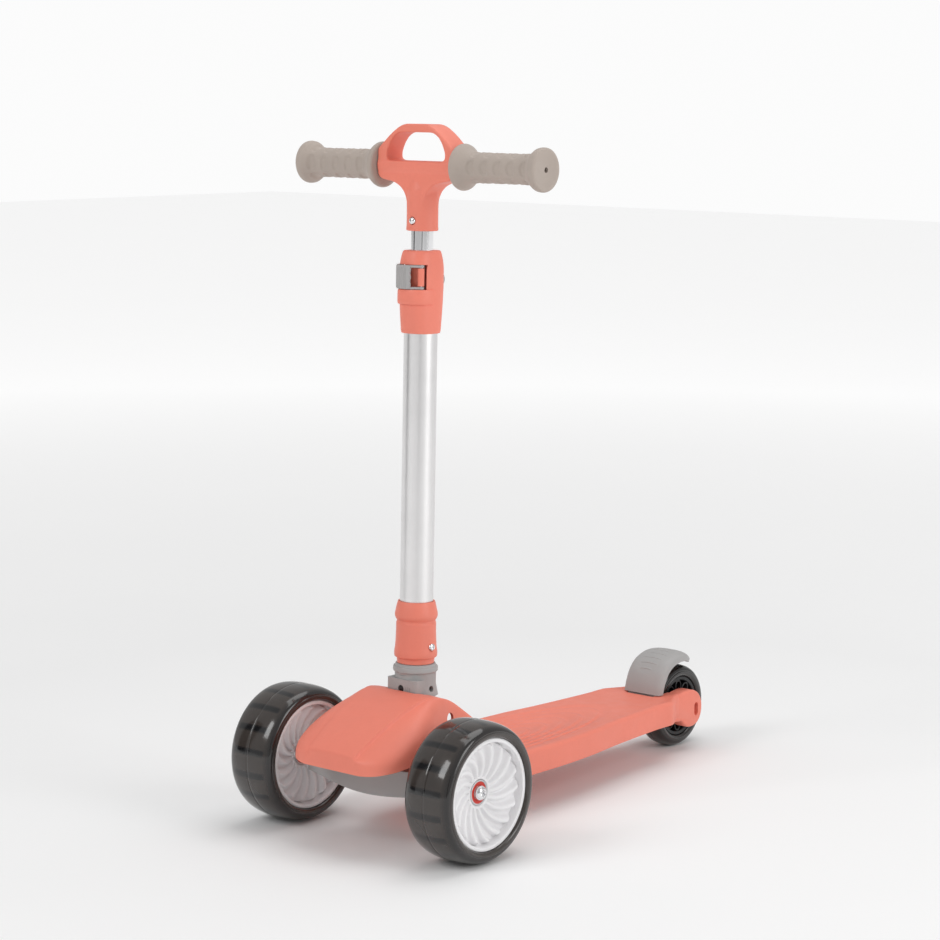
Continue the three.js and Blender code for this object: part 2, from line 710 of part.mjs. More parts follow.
function clampHousing() {
  const shell = clampColumn([
    [CLAMP.bottom, 0.95, 0.8],
    [CLAMP.bottom + 2.5, 0.97, 0.84],
    [-32, 0.98, 0.92],
    [BAND_BOTTOM, 0.99, 0.96],
    [-10, 1, 1],
    [6, 1, 1],
    [12, 0.97, 0.97],
    [CLAMP.top - 1.5, 0.87, 0.87],
    [CLAMP.top, 0.82, 0.82],
  ]);
  const band = clampColumn([
    [BAND_BOTTOM, 1.04, 1.03],
    [BAND_BOTTOM + 1.5, 1.07, 1.06],
    [-CLAMP.window - 0.5, 1.06, 1.06],
    [-CLAMP.window + 2, 1.03, 1.03],
  ]);
  const frontBand = common(band, block([-30, 30], [-30, WINDOW_REAR], [-60, 60]));
  const tubeEnd = TUBE_TOP - CLAMP_AT;
  const window = [-CLAMP.window, CLAMP.window];
  return cut(
    join(shell, frontBand),
    rod(TUBE_RADIUS + GAP, -60, tubeEnd + 2.9, STEM),
    rod(BAND.outer + GAP, tubeEnd + 2, CLAMP.window + 0.6, STEM),
    rod(INNER_RADIUS + SLIDE_GAP, 0, 40, STEM),
    block([-40, LEVER_PIN.x + 4.2], [-40, WINDOW_REAR], window),
    rod(LEVER_PIN.radius + GAP, -14.2, 14.2).translate(LEVER_PIN.x, LEVER_PIN.y, 0),
    alongY(rod(REAR_BUTTON.radius + GAP, 12, 40, STEM)).translate(0, 0, REAR_BUTTON.z),
  );
}

function clampBand() {
  const reach = CLAMP.window - 0.5;
  const ring = pipe(BAND.outer, BAND.inner, -reach, reach, STEM);
  const toPin = Math.atan2(LEVER_PIN.y, LEVER_PIN.x);
  const far = Math.hypot(LEVER_PIN.x, LEVER_PIN.y);
  const web = block([BAND.outer - 1, far], [-2.6, 0.4], [2.5 - reach, reach - 2.5]);
  const barrel = rod(3, 2.5 - reach, reach - 2.5).translate(far, 0, 0);
  const split = block([0, BAND.outer + 5], [0.8, 2.6], [-reach - 1, reach + 1]);
  const lug = join(web, barrel).rotateZ(toPin);
  const trimmed = cut(join(ring, lug), split.rotateZ(toPin + degrees(6)));
  return cut(
    trimmed,
    rod(LEVER_PIN.radius + GAP, -20, 20).translate(LEVER_PIN.x, LEVER_PIN.y, 0),
    rod(BAND.inner, -20, 20, STEM),
    alongY(rod(2.8, 5, 30)).translate(0, 0, REAR_BUTTON.z),
  );
}

function clampLever() {
  const reach = CLAMP.window - 0.4;
  const eye = 2.6;
  const outline = new THREE.Shape();
  outline.moveTo(5, -21);
  outline.splineThru([[0, -22.6], [-10, -20.6], [-17.4, -12], [-18.6, -4.6]].map(vector));
  outline.lineTo(-15.7, -4.6);
  outline.splineThru([[-14.7, -11], [-8.7, -17.6], [0, -19.5], [4, -18.6]].map(vector));
  outline.closePath();
  const paddle = plate(outline, -reach, reach, 0, 5);
  const eyes = [];
  for (const from of [-reach, reach - 1.9]) {
    const ring = rod(eye, from, from + 1.9, 16).translate(LEVER_PIN.x, LEVER_PIN.y, 0);
    const arm = new THREE.Shape();
    arm.moveTo(3.6, -21);
    arm.lineTo(LEVER_PIN.x + eye * 0.8, LEVER_PIN.y - eye * 0.6);
    arm.lineTo(LEVER_PIN.x - eye * 0.8, LEVER_PIN.y + eye * 0.6);
    arm.lineTo(3, -18.6);
    eyes.push(join(ring, plate(arm, from, from + 1.9)));
  }
  const hole = rod(LEVER_PIN.radius + GAP, -20, 20).translate(LEVER_PIN.x, LEVER_PIN.y, 0);
  return cut(join(paddle, ...eyes), hole);
}

// A plunger along +Y: a domed end outside and a thinner pin inside.
function plunger(radius, innerEnd, rim, dome, pinRadius, pinEnd) {
  return alongY(
    turned([
      [0, pinEnd],
      [pinRadius, pinEnd],
      [pinRadius, innerEnd],
      [radius, innerEnd],
      [radius, rim],
      [radius * 0.85, rim + (dome - rim) * 0.55],
      [radius * 0.45, dome - (dome - rim) * 0.08],
      [0, dome],
    ]),
  );
}

// A bent leaf inside the inner tube, which pushes a snap pin out.
function snapLeaf(width, reach) {
  const shape = new THREE.Shape(
    [
      [-3.4, -reach],
      [-2.6, -reach],
      [7.2, -1.2 - 0.2 * reach],
      [7.2, 1.2 + 0.2 * reach],
      [2.6, reach],
      [1.8, reach],
      [6.4, 1.2 + 0.2 * reach],
      [6.4, -0.8 - 0.2 * reach],
    ].map(vector),
  );
  return sidePlate(shape, -width / 2, width / 2);
}

function innerTube() {
  const tube = pipe(INNER_RADIUS, INNER_RADIUS - INNER_WALL, INNER_BOTTOM, BAR_AT - 11.8, STEM);
  return cut(
    tube,
    alongY(rod(2.8, 0, 20)).translate(0, 0, CLAMP_AT + REAR_BUTTON.z),
    alongY(rod(3.5, 0, 20)).rotateZ(Math.PI).translate(0, 0, BAR_AT + SNAP.z),
  );
}

// ---------------------------------------------------------------- handlebar, about the bar
const T_HALF = 42;
const NECK_RADIUS = 13.4; // the T's stem, round the inner tube
const SNAP = { z: -46, radius: 3.1, rim: NECK_RADIUS - 0.2, dome: NECK_RADIUS + 1.8 };
const SOCKET_END = 34.5; // where the socket for each grip's tube stops

function handlebarBody() {
  const outline = new THREE.Shape();
  const [low, neck] = [-42, NECK_RADIUS];
  outline.moveTo(-10, LOOP_TOP);
  outline.lineTo(10, LOOP_TOP);
  outline.bezierCurveTo(19, LOOP_TOP, 31, 24.5, T_HALF, 13.5);
  outline.lineTo(T_HALF, -6);
  outline.bezierCurveTo(T_HALF, -11, 36, -12.5, 30, -13);
  outline.bezierCurveTo(21, -14.5, 15.5, -20, neck, low);
  outline.lineTo(-neck, low);
  outline.bezierCurveTo(-15.5, -20, -21, -14.5, -30, -13);
  outline.bezierCurveTo(-36, -12.5, -T_HALF, -11, -T_HALF, -6);
  outline.lineTo(-T_HALF, 13.5);
  outline.bezierCurveTo(-31, 24.5, -19, LOOP_TOP, -10, LOOP_TOP);
  const hole = new THREE.Path();
  hole.moveTo(-14, LOOP_TOP - 7);
  hole.bezierCurveTo(-24, LOOP_TOP - 7, -29, 20, -32, 11);
  hole.bezierCurveTo(-33, 6, -31, 4, -27, 4);
  hole.lineTo(27, 4);
  hole.bezierCurveTo(31, 4, 33, 6, 32, 11);
  hole.bezierCurveTo(29, 20, 24, LOOP_TOP - 7, 14, LOOP_TOP - 7);
  outline.holes.push(hole);
  const loop = frontPlate(outline, -11, 11, 1.5);
  const stem = turned(
    [[0, -55], [neck + 0.5, -55], [neck, -51], [neck, -20], [11, -12], [0, -12]],
    STEM,
  );
  const barrel = alongX(
    turned(
      [
        [0, -T_HALF],
        [11.7, -T_HALF],
        [12.7, 2 - T_HALF],
        [12.7, T_HALF - 2],
        [11.7, T_HALF],
        [0, T_HALF],
      ],
      28,
    ),
  );
  const belowHole = common(barrel, block([-60, 60], [-30, 30], [-30, 3.9]));
  const socket = alongX(rod(BAR_RADIUS + GAP, SOCKET_END, 60, STEM));
  return cut(
    join(loop, stem, belowHole),
    socket,
    mirrored(socket),
    rod(INNER_RADIUS + GAP, -60, -11.4, STEM),
    alongY(rod(SNAP.radius + SLIDE_GAP, 0, 30)).rotateZ(Math.PI).translate(0, 0, SNAP.z),
  );
}

// A rubber grip along +X, flared at both ends, with a small breather hole in its end cap.
function grip() {
  const bore = BAR_RADIUS + GAP;
  const from = T_HALF + GAP;
  const cap = GRIP_END - 5;
  const body = turned(
    [
      [bore, from],
      [17.5, from],
      [19.5, from + 2],
      [19.2, from + 5],
      [15.5, from + 9.5],
      [13, from + 15],
      [12.6, GRIP_END - 40],
      [12.8, GRIP_END - 17],
      [14.5, GRIP_END - 11.5],
      [17.6, GRIP_END - 7],
      [18.3, GRIP_END - 2.5],
      [16.8, GRIP_END],
      [2.2, GRIP_END],
      [2.2, cap],
      [bore, cap],
    ],
    STEM,
  );
  return alongX(body);
}

// ---------------------------------------------------------------- rear fender brake
// The crown's line in Y and Z, with the share of the full width at each station.
const FENDER = {
  half: 21.5,
  wall: 3,
  drop: 9,
  line: [
    [-52.5, 20.5, 1],
    [-49.5, 31, 1],
    [-43.3, 42.5, 1],
    [-33, 51.5, 1],
    [-18, 56.3, 1],
    [-3, 55.8, 0.95],
    [9, 50.5, 0.78],
    [16.5, 46, 0.5],
    [21, 42.6, 0.2],
  ],
};

function fenderLoft(inset) {
  const line = FENDER.line.map(
    ([y, z]) => new THREE.Vector2(REAR_AXLE + y, REAR_RADIUS + z),
  );
  const normals = line.map((_, i) => {
    const [a, b] = [line[Math.max(i - 1, 0)], line[Math.min(i + 1, line.length - 1)]];
    const along = b.clone().sub(a).normalize();
    return new THREE.Vector2(-along.y, along.x);
  });
  const outlines = FENDER.line.map(([, , share]) => {
    const half = FENDER.half * share - inset;
    const deep = 0.2 + 0.8 * share;
    const arch = [
      [0, 0],
      [0.45 * half, -0.4],
      [0.75 * half, -1.4],
      [0.92 * half, -3.2],
      [half, -5.6],
      [half, inset ? -FENDER.drop - 8 : -FENDER.drop],
    ].map(([x, z]) => [x, z * deep - inset]);
    const left = arch.slice(1).reverse().map(([x, z]) => [-x, z]);
    return [...left, ...arch].map(vector);
  });
  return loft(outlines, (i, p) => [
    p.x,
    line[i].x + normals[i].x * p.y,
    line[i].y + normals[i].y * p.y,
  ]);
}

function brakeFender() {
  const outer = fenderLoft(0);
  const tyreSpace = alongX(rod(REAR_RADIUS + BRAKE_GAP, -30, 30, ROUND));
  tyreSpace.translate(0, REAR_AXLE, REAR_RADIUS);
  const pad = block([-9, 9], [REAR_AXLE - 16, REAR_AXLE + 6], [REAR_RADIUS + 40, 120]);
  const shell = cut(outer, fenderLoft(FENDER.wall));
  const side = new THREE.Shape();
  side.moveTo(FENDER_PIVOT + 5, FENDER_PIVOT_Z);
  side.lineTo(FENDER_PIVOT + 3.5, DECK_TOP + 8);
  side.lineTo(FENDER_PIVOT - 1.6, DECK_TOP + 8);
  side.lineTo(FENDER_PIVOT - 5, FENDER_PIVOT_Z);
  side.absarc(FENDER_PIVOT, FENDER_PIVOT_Z, 5, Math.PI, 2 * Math.PI);
  const half = ARM_INNER - SLIDE_GAP;
  const arm = sidePlate(side, -half, half);
  const above = block([-40, 40], [300, 600], [DECK_TOP + 0.6, 200]);
  const coil = block([-5, 5], [FENDER_PIVOT - 8, FENDER_PIVOT + 8], [0, FENDER_PIVOT_Z + 6]);
  const pin = alongX(rod(FENDER_PIN_RADIUS + SLIDE_GAP, -40, 40));
  pin.translate(0, FENDER_PIVOT, FENDER_PIVOT_Z);
  return cut(
    join(common(shell, above), cut(common(outer, pad), tyreSpace), arm),
    coil,
    pin,
  );
}

class Helix extends THREE.Curve {
  constructor(radius, turns, length) {
    super();
    Object.assign(this, { radius, turns, length });
  }
  getPoint(t, target = new THREE.Vector3()) {
    const turn = t * this.turns * 2 * Math.PI;
    return target.set(
      (t - 0.5) * this.length,
      this.radius * Math.cos(turn),
      this.radius * Math.sin(turn),
    );
  }
}

function coilSpring(radius, turns, length, wire) {
  const section = new THREE.Shape();
  section.absarc(0, 0, wire, 0, 2 * Math.PI);
  return new THREE.ExtrudeGeometry(section, {
    extrudePath: new Helix(radius, turns, length),
    steps: turns * 8,
    curveSegments: 2,
  });
}

// ---------------------------------------------------------------- assembly
const scooter = new THREE.Group();
const frame = new THREE.Group(); // its own origin is on the floor under the front axle
frame.position.y = -(WHEELBASE + REAR_RADIUS - FRONT_RADIUS) / 2;
scooter.add(frame);

function addFrontWheel(side, name) {
  const wheel = new THREE.Group();
  wheel.position.set((side * FRONT_TRACK) / 2, 0, FRONT_RADIUS);
  wheel.rotation.y = (side * Math.PI) / 2;
  frame.add(wheel);
  const m = MATERIALS;
  add(
    wheel,
    `${name}_tyre`,
    tyre(FRONT_RADIUS, FRONT_WIDTH, FRONT_HUB_RADIUS, 8, TYRE_LIP, 8),
    m.smoke,
  );
  add(wheel, `${name}_hub`, frontHub(), m.white);
  const offset = (FRONT_BOSS_WIDTH - FRONT_BEARING.width) / 2;
  add(wheel, `${name}_outer_bearing`, bearing(FRONT_BEARING).translate(0, 0, offset), m.seal);
  add(wheel, `${name}_inner_bearing`, bearing(FRONT_BEARING).translate(0, 0, -offset), m.seal);
  const seat = FRONT_BOSS_WIDTH / 2 + GAP;
  const tip = 62 - FRONT_TRACK / 2;
  add(wheel, `${name}_axle_bolt`, bolt(AXLE_BOLT_RADIUS, seat, tip, 6.3, 4.4), m.chrome);
}

function addRearWheel() {
  const wheel = new THREE.Group();
  wheel.position.set(0, REAR_AXLE, REAR_RADIUS);
  wheel.rotation.y = Math.PI / 2;
  frame.add(wheel);
  const m = MATERIALS;
  add(wheel, "rear_tyre", tyre(REAR_RADIUS, REAR_WIDTH, REAR_HUB_RADIUS, 6, TYRE_LIP, 6), m.smoke);
  add(wheel, "rear_hub", rearHub(), m.black);
  const offset = (REAR_BOSS_WIDTH - REAR_BEARING.width) / 2;
  add(wheel, "rear_left_bearing", bearing(REAR_BEARING).translate(0, 0, offset), m.steel);
  add(wheel, "rear_right_bearing", bearing(REAR_BEARING).translate(0, 0, -offset), m.steel);
  const [from, to] = [REAR_BOSS_WIDTH / 2 + GAP, ARM_INNER - GAP];
  const bore = REAR_AXLE_RADIUS + GAP;
  add(wheel, "rear_left_spacer", pipe(5, bore, from, to), m.black);
  add(wheel, "rear_right_spacer", pipe(5, bore, -to, -from), m.black);
  add(wheel, "rear_axle", rod(REAR_AXLE_RADIUS, 5.3 - ARM_OUTER, ARM_OUTER - 5.3), m.steel);
}

function addChassis() {
  const m = MATERIALS;
  add(frame, "deck", deck(), m.coral);
  add(frame, "front_cover", frontCover(), m.coral);
  for (const [side, name] of [[1, "left"], [-1, "right"]]) {
    const screw = bolt(SCREWS.radius - 0.2, -NOSE_TOP + NOSE_DEPTH + GAP, -NOSE_TOP - 8, SCREWS.head, 2.6);
    screw.rotateX(Math.PI).translate(side * SCREWS.x, SCREWS.y, 0);
    add(frame, `${name}_cover_screw`, screw, m.steel);
  }
  const kingpin = new THREE.Group();
  kingpin.position.z = KINGPIN_HEIGHT;
  kingpin.rotation.x = degrees(KINGPIN_TILT);
  frame.add(kingpin);
  const seat = KINGPIN_SEATS.noseTop + GAP;
  const lower = -BEAM_WEB - GAP;
  const washer = lower - CUSHION_HEIGHT - GAP;
  const nut = washer - 1.5 - GAP;
  const bore = KINGPIN_RADIUS + GAP;
  add(kingpin, "kingpin_bolt", bolt(KINGPIN_RADIUS, seat, nut - 6, 7, 5), m.steel);
  const upper = KINGPIN_SEATS.beamTop + GAP;
  add(kingpin, "upper_cushion", pipe(CUSHION_RADIUS, bore, upper, upper + CUSHION_HEIGHT, STEM), m.rubber);
  add(kingpin, "lower_cushion", pipe(CUSHION_RADIUS, bore, lower - CUSHION_HEIGHT, lower, STEM), m.rubber);
  add(kingpin, "kingpin_washer", pipe(CUSHION_RADIUS - 1, bore, washer - 1.5, washer, STEM), m.steel);
  const kingpinNut = cut(hexagon(13, nut - 6, nut), rod(bore, -90, 0));
  add(kingpin, "kingpin_nut", kingpinNut, m.steel);
}

function addFoldBracket() {
  const m = MATERIALS;
  const base = NOSE_TOP + GAP - PIVOT_HEIGHT;
  const bracket = new THREE.Group();
  bracket.position.set(0, PIVOT_BEHIND, PIVOT_HEIGHT);
  frame.add(bracket);
  const [inner, outer] = [KNUCKLE.tongue + SLIDE_GAP, KNUCKLE.half - 0.4];
  const side = new THREE.Shape();
  side.moveTo(-18, base);
  side.lineTo(8, base);
  side.lineTo(12, -5);
  side.absarc(0, 0, 13, degrees(-22), degrees(200));
  side.closePath();
  const cheek = sidePlate(side, inner, outer);
  const floor = block([-outer, outer], [-18, 8], [base, base + 3.2]);
  const shaft = PIVOT_BOLT_RADIUS + GAP;
  const body = cut(join(cheek, mirrored(cheek), floor), alongX(rod(shaft, -40, 40)));
  add(bracket, "fold_bracket", body, m.grey);
  const seat = outer + GAP;
  add(bracket, "fold_pivot_bolt", alongX(bolt(PIVOT_BOLT_RADIUS, seat, -seat - 5, 7, 4)), m.steel);
  const nut = cut(hexagon(13, -seat - 5, -seat), rod(shaft, -60, 0));
  add(bracket, "fold_pivot_nut", alongX(nut), m.steel);
}

function addTruck() {
  add(frame, "truck_beam", truckBeam(), MATERIALS.grey);
}

function addBrake() {
  const m = MATERIALS;
  add(frame, "brake_fender", brakeFender(), m.grey);
  const pin = alongX(rod(FENDER_PIN_RADIUS, 6.3 - ARM_OUTER, ARM_OUTER - 6.3));
  add(frame, "fender_pin", pin.translate(0, FENDER_PIVOT, FENDER_PIVOT_Z), m.steel);
  const spring = coilSpring(FENDER_PIN_RADIUS + 1.5, 4, 7, 0.7);
  add(frame, "fender_spring", spring.translate(0, FENDER_PIVOT, FENDER_PIVOT_Z), m.steel);
}

function addStem() {
  const m = MATERIALS;
  const stem = new THREE.Group();
  stem.position.set(0, PIVOT_BEHIND, PIVOT_HEIGHT);
  stem.rotation.x = -degrees(STEM_RAKE);
  frame.add(stem);
  add(stem, "hinge_knuckle", hingeKnuckle(), m.grey);
  add(stem, "fold_lock_pin", alongX(rod(2.4, 1 - KNUCKLE.half, KNUCKLE.half - 1)).translate(0, 0, 22.5), m.black);
  const front = KNUCKLE.front;
  const button = plunger(2.8, 7.2, front - 0.6, front - 0.2, 2, 6.5).rotateZ(Math.PI);
  add(stem, "fold_button", button.translate(0, 0, BUTTON_AT), m.black);
  add(stem, "lower_sleeve", lowerSleeve(), m.coral);
  const tip = TUBE_RADIUS - TUBE_WALL - 1.5;
  const screw = bolt(SLEEVE_SCREW.radius, SLEEVE_SCREW.seat + GAP, tip, SLEEVE_SCREW.head, 2);
  add(stem, "sleeve_screw", alongX(screw).translate(0, 0, SLEEVE_SCREW.at), m.chrome);
  add(stem, "stem_tube", stemTube(), m.satin);

  const clamp = new THREE.Group();
  clamp.position.z = CLAMP_AT;
  stem.add(clamp);
  add(clamp, "clamp_housing", clampHousing(), m.coral);
  add(clamp, "clamp_band", clampBand(), m.coral);
  const leverPin = rod(LEVER_PIN.radius, -13.9, 13.9).translate(LEVER_PIN.x, LEVER_PIN.y, 0);
  add(clamp, "lever_pin", leverPin, m.steel);
  add(clamp, "clamp_lever", clampLever(), m.grey);
  const rear = REAR_BUTTON;
  const heightButton = plunger(rear.radius, rear.innerEnd, rear.rim, rear.dome, 2.2, 12);
  add(clamp, "height_button", heightButton.translate(0, 0, rear.z), m.grey);
  const tubeEnd = TUBE_TOP - CLAMP_AT;
  const inTube = TUBE_RADIUS - TUBE_WALL - GAP;
  const bush = turned(
    [
      [INNER_RADIUS + SLIDE_GAP, tubeEnd - 30],
      [inTube, tubeEnd - 30],
      [inTube, tubeEnd + GAP],
      [TUBE_RADIUS - 0.4, tubeEnd + GAP],
      [TUBE_RADIUS - 0.4, tubeEnd + 2.2],
      [INNER_RADIUS + SLIDE_GAP, tubeEnd + 2.2],
    ],
    STEM,
  );
  add(clamp, "guide_bush", bush, m.black);
  add(stem, "inner_tube", innerTube(), m.chrome);
  const snapPin = plunger(2.4, 8, 9, 9.4, 2.4, 7.6);
  add(clamp, "height_snap_pin", snapPin.translate(0, 0, rear.z), m.steel);
  add(clamp, "height_snap_leaf", snapLeaf(5, 18).translate(0, 0, rear.z), m.steel);

  const bar = new THREE.Group();
  bar.position.z = BAR_AT;
  stem.add(bar);
  add(bar, "handlebar_body", handlebarBody(), m.coral);
  const reach = GRIP_END - 5 - GAP;
  const tube = alongX(pipe(BAR_RADIUS, BAR_RADIUS - INNER_WALL, SOCKET_END + GAP, reach, STEM));
  add(bar, "left_bar_tube", tube, m.satin);
  add(bar, "right_bar_tube", mirrored(tube), m.satin);
  add(bar, "left_grip", grip(), m.grip);
  add(bar, "right_grip", mirrored(grip()), m.grip);
  const snap = plunger(SNAP.radius, 7.6, SNAP.rim, SNAP.dome, 2.4, 6.9).rotateZ(Math.PI);
  add(bar, "stem_button", snap.translate(0, 0, SNAP.z), m.chrome);
}

addChassis();
addTruck();
addFrontWheel(1, "left");
addFrontWheel(-1, "right");
addRearWheel();
addBrake();
addFoldBracket();
addStem();

export default scooter;
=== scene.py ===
# Child's three-wheel kick scooter. Metres in the scene; shapes below are drawn in millimetres.
import json
import math

import bmesh
import bpy
from mathutils import Matrix, Vector

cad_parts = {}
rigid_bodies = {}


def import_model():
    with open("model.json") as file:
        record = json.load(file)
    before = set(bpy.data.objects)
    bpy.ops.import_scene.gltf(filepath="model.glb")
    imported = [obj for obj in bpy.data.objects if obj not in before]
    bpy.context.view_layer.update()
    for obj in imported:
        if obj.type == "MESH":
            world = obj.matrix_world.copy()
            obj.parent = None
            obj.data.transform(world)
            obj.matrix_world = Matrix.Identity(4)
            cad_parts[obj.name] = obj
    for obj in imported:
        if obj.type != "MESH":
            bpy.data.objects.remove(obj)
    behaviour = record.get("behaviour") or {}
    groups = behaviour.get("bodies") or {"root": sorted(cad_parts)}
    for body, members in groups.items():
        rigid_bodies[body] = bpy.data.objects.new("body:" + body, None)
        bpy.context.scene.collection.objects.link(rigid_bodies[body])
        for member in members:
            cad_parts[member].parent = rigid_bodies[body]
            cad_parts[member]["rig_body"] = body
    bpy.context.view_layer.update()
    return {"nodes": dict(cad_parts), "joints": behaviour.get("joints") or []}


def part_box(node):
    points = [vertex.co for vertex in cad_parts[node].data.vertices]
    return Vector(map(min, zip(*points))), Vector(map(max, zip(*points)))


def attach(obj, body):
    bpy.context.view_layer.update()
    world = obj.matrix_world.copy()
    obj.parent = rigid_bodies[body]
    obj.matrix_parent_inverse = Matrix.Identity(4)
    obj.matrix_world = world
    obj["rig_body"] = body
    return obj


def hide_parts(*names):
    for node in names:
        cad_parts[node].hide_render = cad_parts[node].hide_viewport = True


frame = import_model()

MM = 0.001
WELD = 1e-7  # metres: points closer than this become one
TAU = 2 * math.pi

# ------------------------------ places taken from the frame


def size_of(node):
    low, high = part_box(node)
    return (high - low) / MM


def middle(node):
    low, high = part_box(node)
    return (low + high) / 2


def body_of(node):
    return frame["nodes"][node]["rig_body"]


JOINTS = {joint["name"]: joint for joint in frame["joints"]}
LEFT_WHEEL, RIGHT_WHEEL, REAR_WHEEL = (middle(f"{n}_tyre") for n in ("left", "right", "rear"))
FLOOR = Matrix.Translation((0, LEFT_WHEEL.y, 0))  # on the floor under the front axle, +Y backwards
PIVOT = Vector(JOINTS["stem_fold"]["pos_m"])
STEM_AXIS = Vector(JOINTS["handlebar_height"]["axis"])
STEM = Matrix.Translation(PIVOT) @ Matrix.Rotation(-math.asin(STEM_AXIS.y), 4, "X")


def along_stem(point):
    return (Vector(point) - PIVOT).dot(STEM_AXIS) / MM


CLAMP_AT = along_stem(JOINTS["clamp_lever_swing"]["pos_m"])
BAR_AT = along_stem(middle("left_grip"))
CLAMP = STEM @ Matrix.Translation((0, 0, CLAMP_AT * MM))
BAR = STEM @ Matrix.Translation((0, 0, BAR_AT * MM))
KINGPIN_HEIGHT = 66  # the middle of the kingpin above the floor
KINGPIN_TURN = Matrix.Rotation(math.radians(35), 4, "X")
KINGPIN = Matrix.Translation(JOINTS["lean_steer"]["pos_m"]) @ KINGPIN_TURN


def wheel_place(centre, side):
    return Matrix.Translation(centre) @ Matrix.Rotation(side * math.pi / 2, 4, "Y")


# ------------------------------ materials


class Shader:
    """A material's node tree, with short names for the nodes used here."""

    def __init__(self, name):
        self.material = bpy.data.materials.new(name)
        self.material.use_nodes = True
        self.nodes = self.material.node_tree.nodes
        self.links = self.material.node_tree.links
        self.surface = self.nodes["Principled BSDF"]
        self.place = self.nodes.new("ShaderNodeTexCoord").outputs["Object"]

    def add(self, kind, inputs=None, **settings):
        node = self.nodes.new(kind)
        for key, value in settings.items():
            setattr(node, key, value)
        for key, value in (inputs or {}).items():
            if isinstance(value, bpy.types.NodeSocket):
                self.links.new(value, node.inputs[key])
            else:
                node.inputs[key].default_value = value
        return node

    def math(self, operation, *values, clamp=False):
        return self.add(
            "ShaderNodeMath", dict(enumerate(values)), operation=operation, use_clamp=clamp
        ).outputs[0]

    def noise(self, scale, detail=3.0, roughness=0.55, place=None):
        inputs = {"Vector": place or self.place, "Scale": scale, "Detail": detail,
                  "Roughness": roughness}
        return self.add("ShaderNodeTexNoise", inputs).outputs["Fac"]

    def stretched(self, x, y, z):
        return self.add(
            "ShaderNodeMapping", {"Vector": self.place, "Scale": (x, y, z)}
        ).outputs["Vector"]

    def spread(self, value, low, high, start=0.3, end=0.7):
        return self.add(
            "ShaderNodeMapRange", {0: value, 1: start, 2: end, 3: low, 4: high}
        ).outputs[0]

    def mix(self, factor, first, second):
        node = self.add("ShaderNodeMix", data_type="RGBA")
        for key, value in ((0, factor), (6, first), (7, second)):
            if isinstance(value, bpy.types.NodeSocket):
                self.links.new(value, node.inputs[key])
            else:
                node.inputs[key].default_value = value
        return node.outputs[2]

    def bump(self, height, strength, distance, under=None):
        inputs = {"Height": height, "Strength": strength, "Distance": distance}
        if under:
            inputs["Normal"] = under
        return self.add("ShaderNodeBump", inputs).outputs["Normal"]

    def into(self, socket, value):
        if isinstance(value, bpy.types.NodeSocket):
            self.links.new(value, self.surface.inputs[socket])
        else:
            self.surface.inputs[socket].default_value = value


def shade(color, factor):
    return (*(min(1.0, c * factor) for c in color), 1)


def moulded(name, color, roughness, grain=0.35, coat=0.0, sheen=0.0, scale=2600.0):
    """Moulded plastic: faint flow marks in the colour, a fine spark-eroded grain, a painted
    highlight on sharp convex edges.
    """
    s = Shader(name)
    flow = s.noise(16.0, 4.0, 0.6)
    speck = s.noise(420.0, 2.0)
    base = s.mix(s.spread(flow, 0, 1), shade(color, 0.955), shade(color, 1.03))
    base = s.mix(s.spread(speck, 0, 0.35, 0.45, 0.8), base, shade(color, 0.93))
    # Painted highlight: sharp convex edges are lightened in the colour, where light would catch
    # them.
    edge_highlight = s.spread(s.add("ShaderNodeNewGeometry").outputs["Pointiness"], 0, 0.35, 0.52, 0.6)
    s.into("Base Color", s.mix(edge_highlight, base, shade(color, 1.12)))
    s.into("Roughness", s.spread(s.noise(90.0, 4.0), roughness - 0.05, roughness + 0.06))
    s.into("Normal", s.bump(s.noise(scale, 2.0), grain, 0.00006, s.bump(flow, 0.06, 0.0008)))
    s.into("Coat Weight", coat)
    s.into("Coat Roughness", 0.25)
    s.into("Sheen Weight", sheen)
    s.into("Specular IOR Level", 0.42)
    return s.material


def metal(name, color, roughness, along=None, bump=0.05):
    """Bare metal. `along` stretches the brushing on one axis: 0, 1 or 2."""
    s = Shader(name)
    stretch = [1.0, 1.0, 1.0]
    if along is not None:
        stretch = [30.0, 30.0, 30.0]
        stretch[along] = 0.8
    lines = s.noise(60.0, 5.0, 0.65, s.stretched(*stretch))
    haze = s.noise(25.0, 3.0)
    s.into("Base Color", s.mix(s.spread(haze, 0, 1), shade(color, 0.94), shade(color, 1.02)))
    s.into("Metallic", 1.0)
    s.into("Roughness", s.spread(lines, roughness * 0.85, roughness * 1.2))
    s.into("Normal", s.bump(lines, bump, 0.00005))
    return s.material


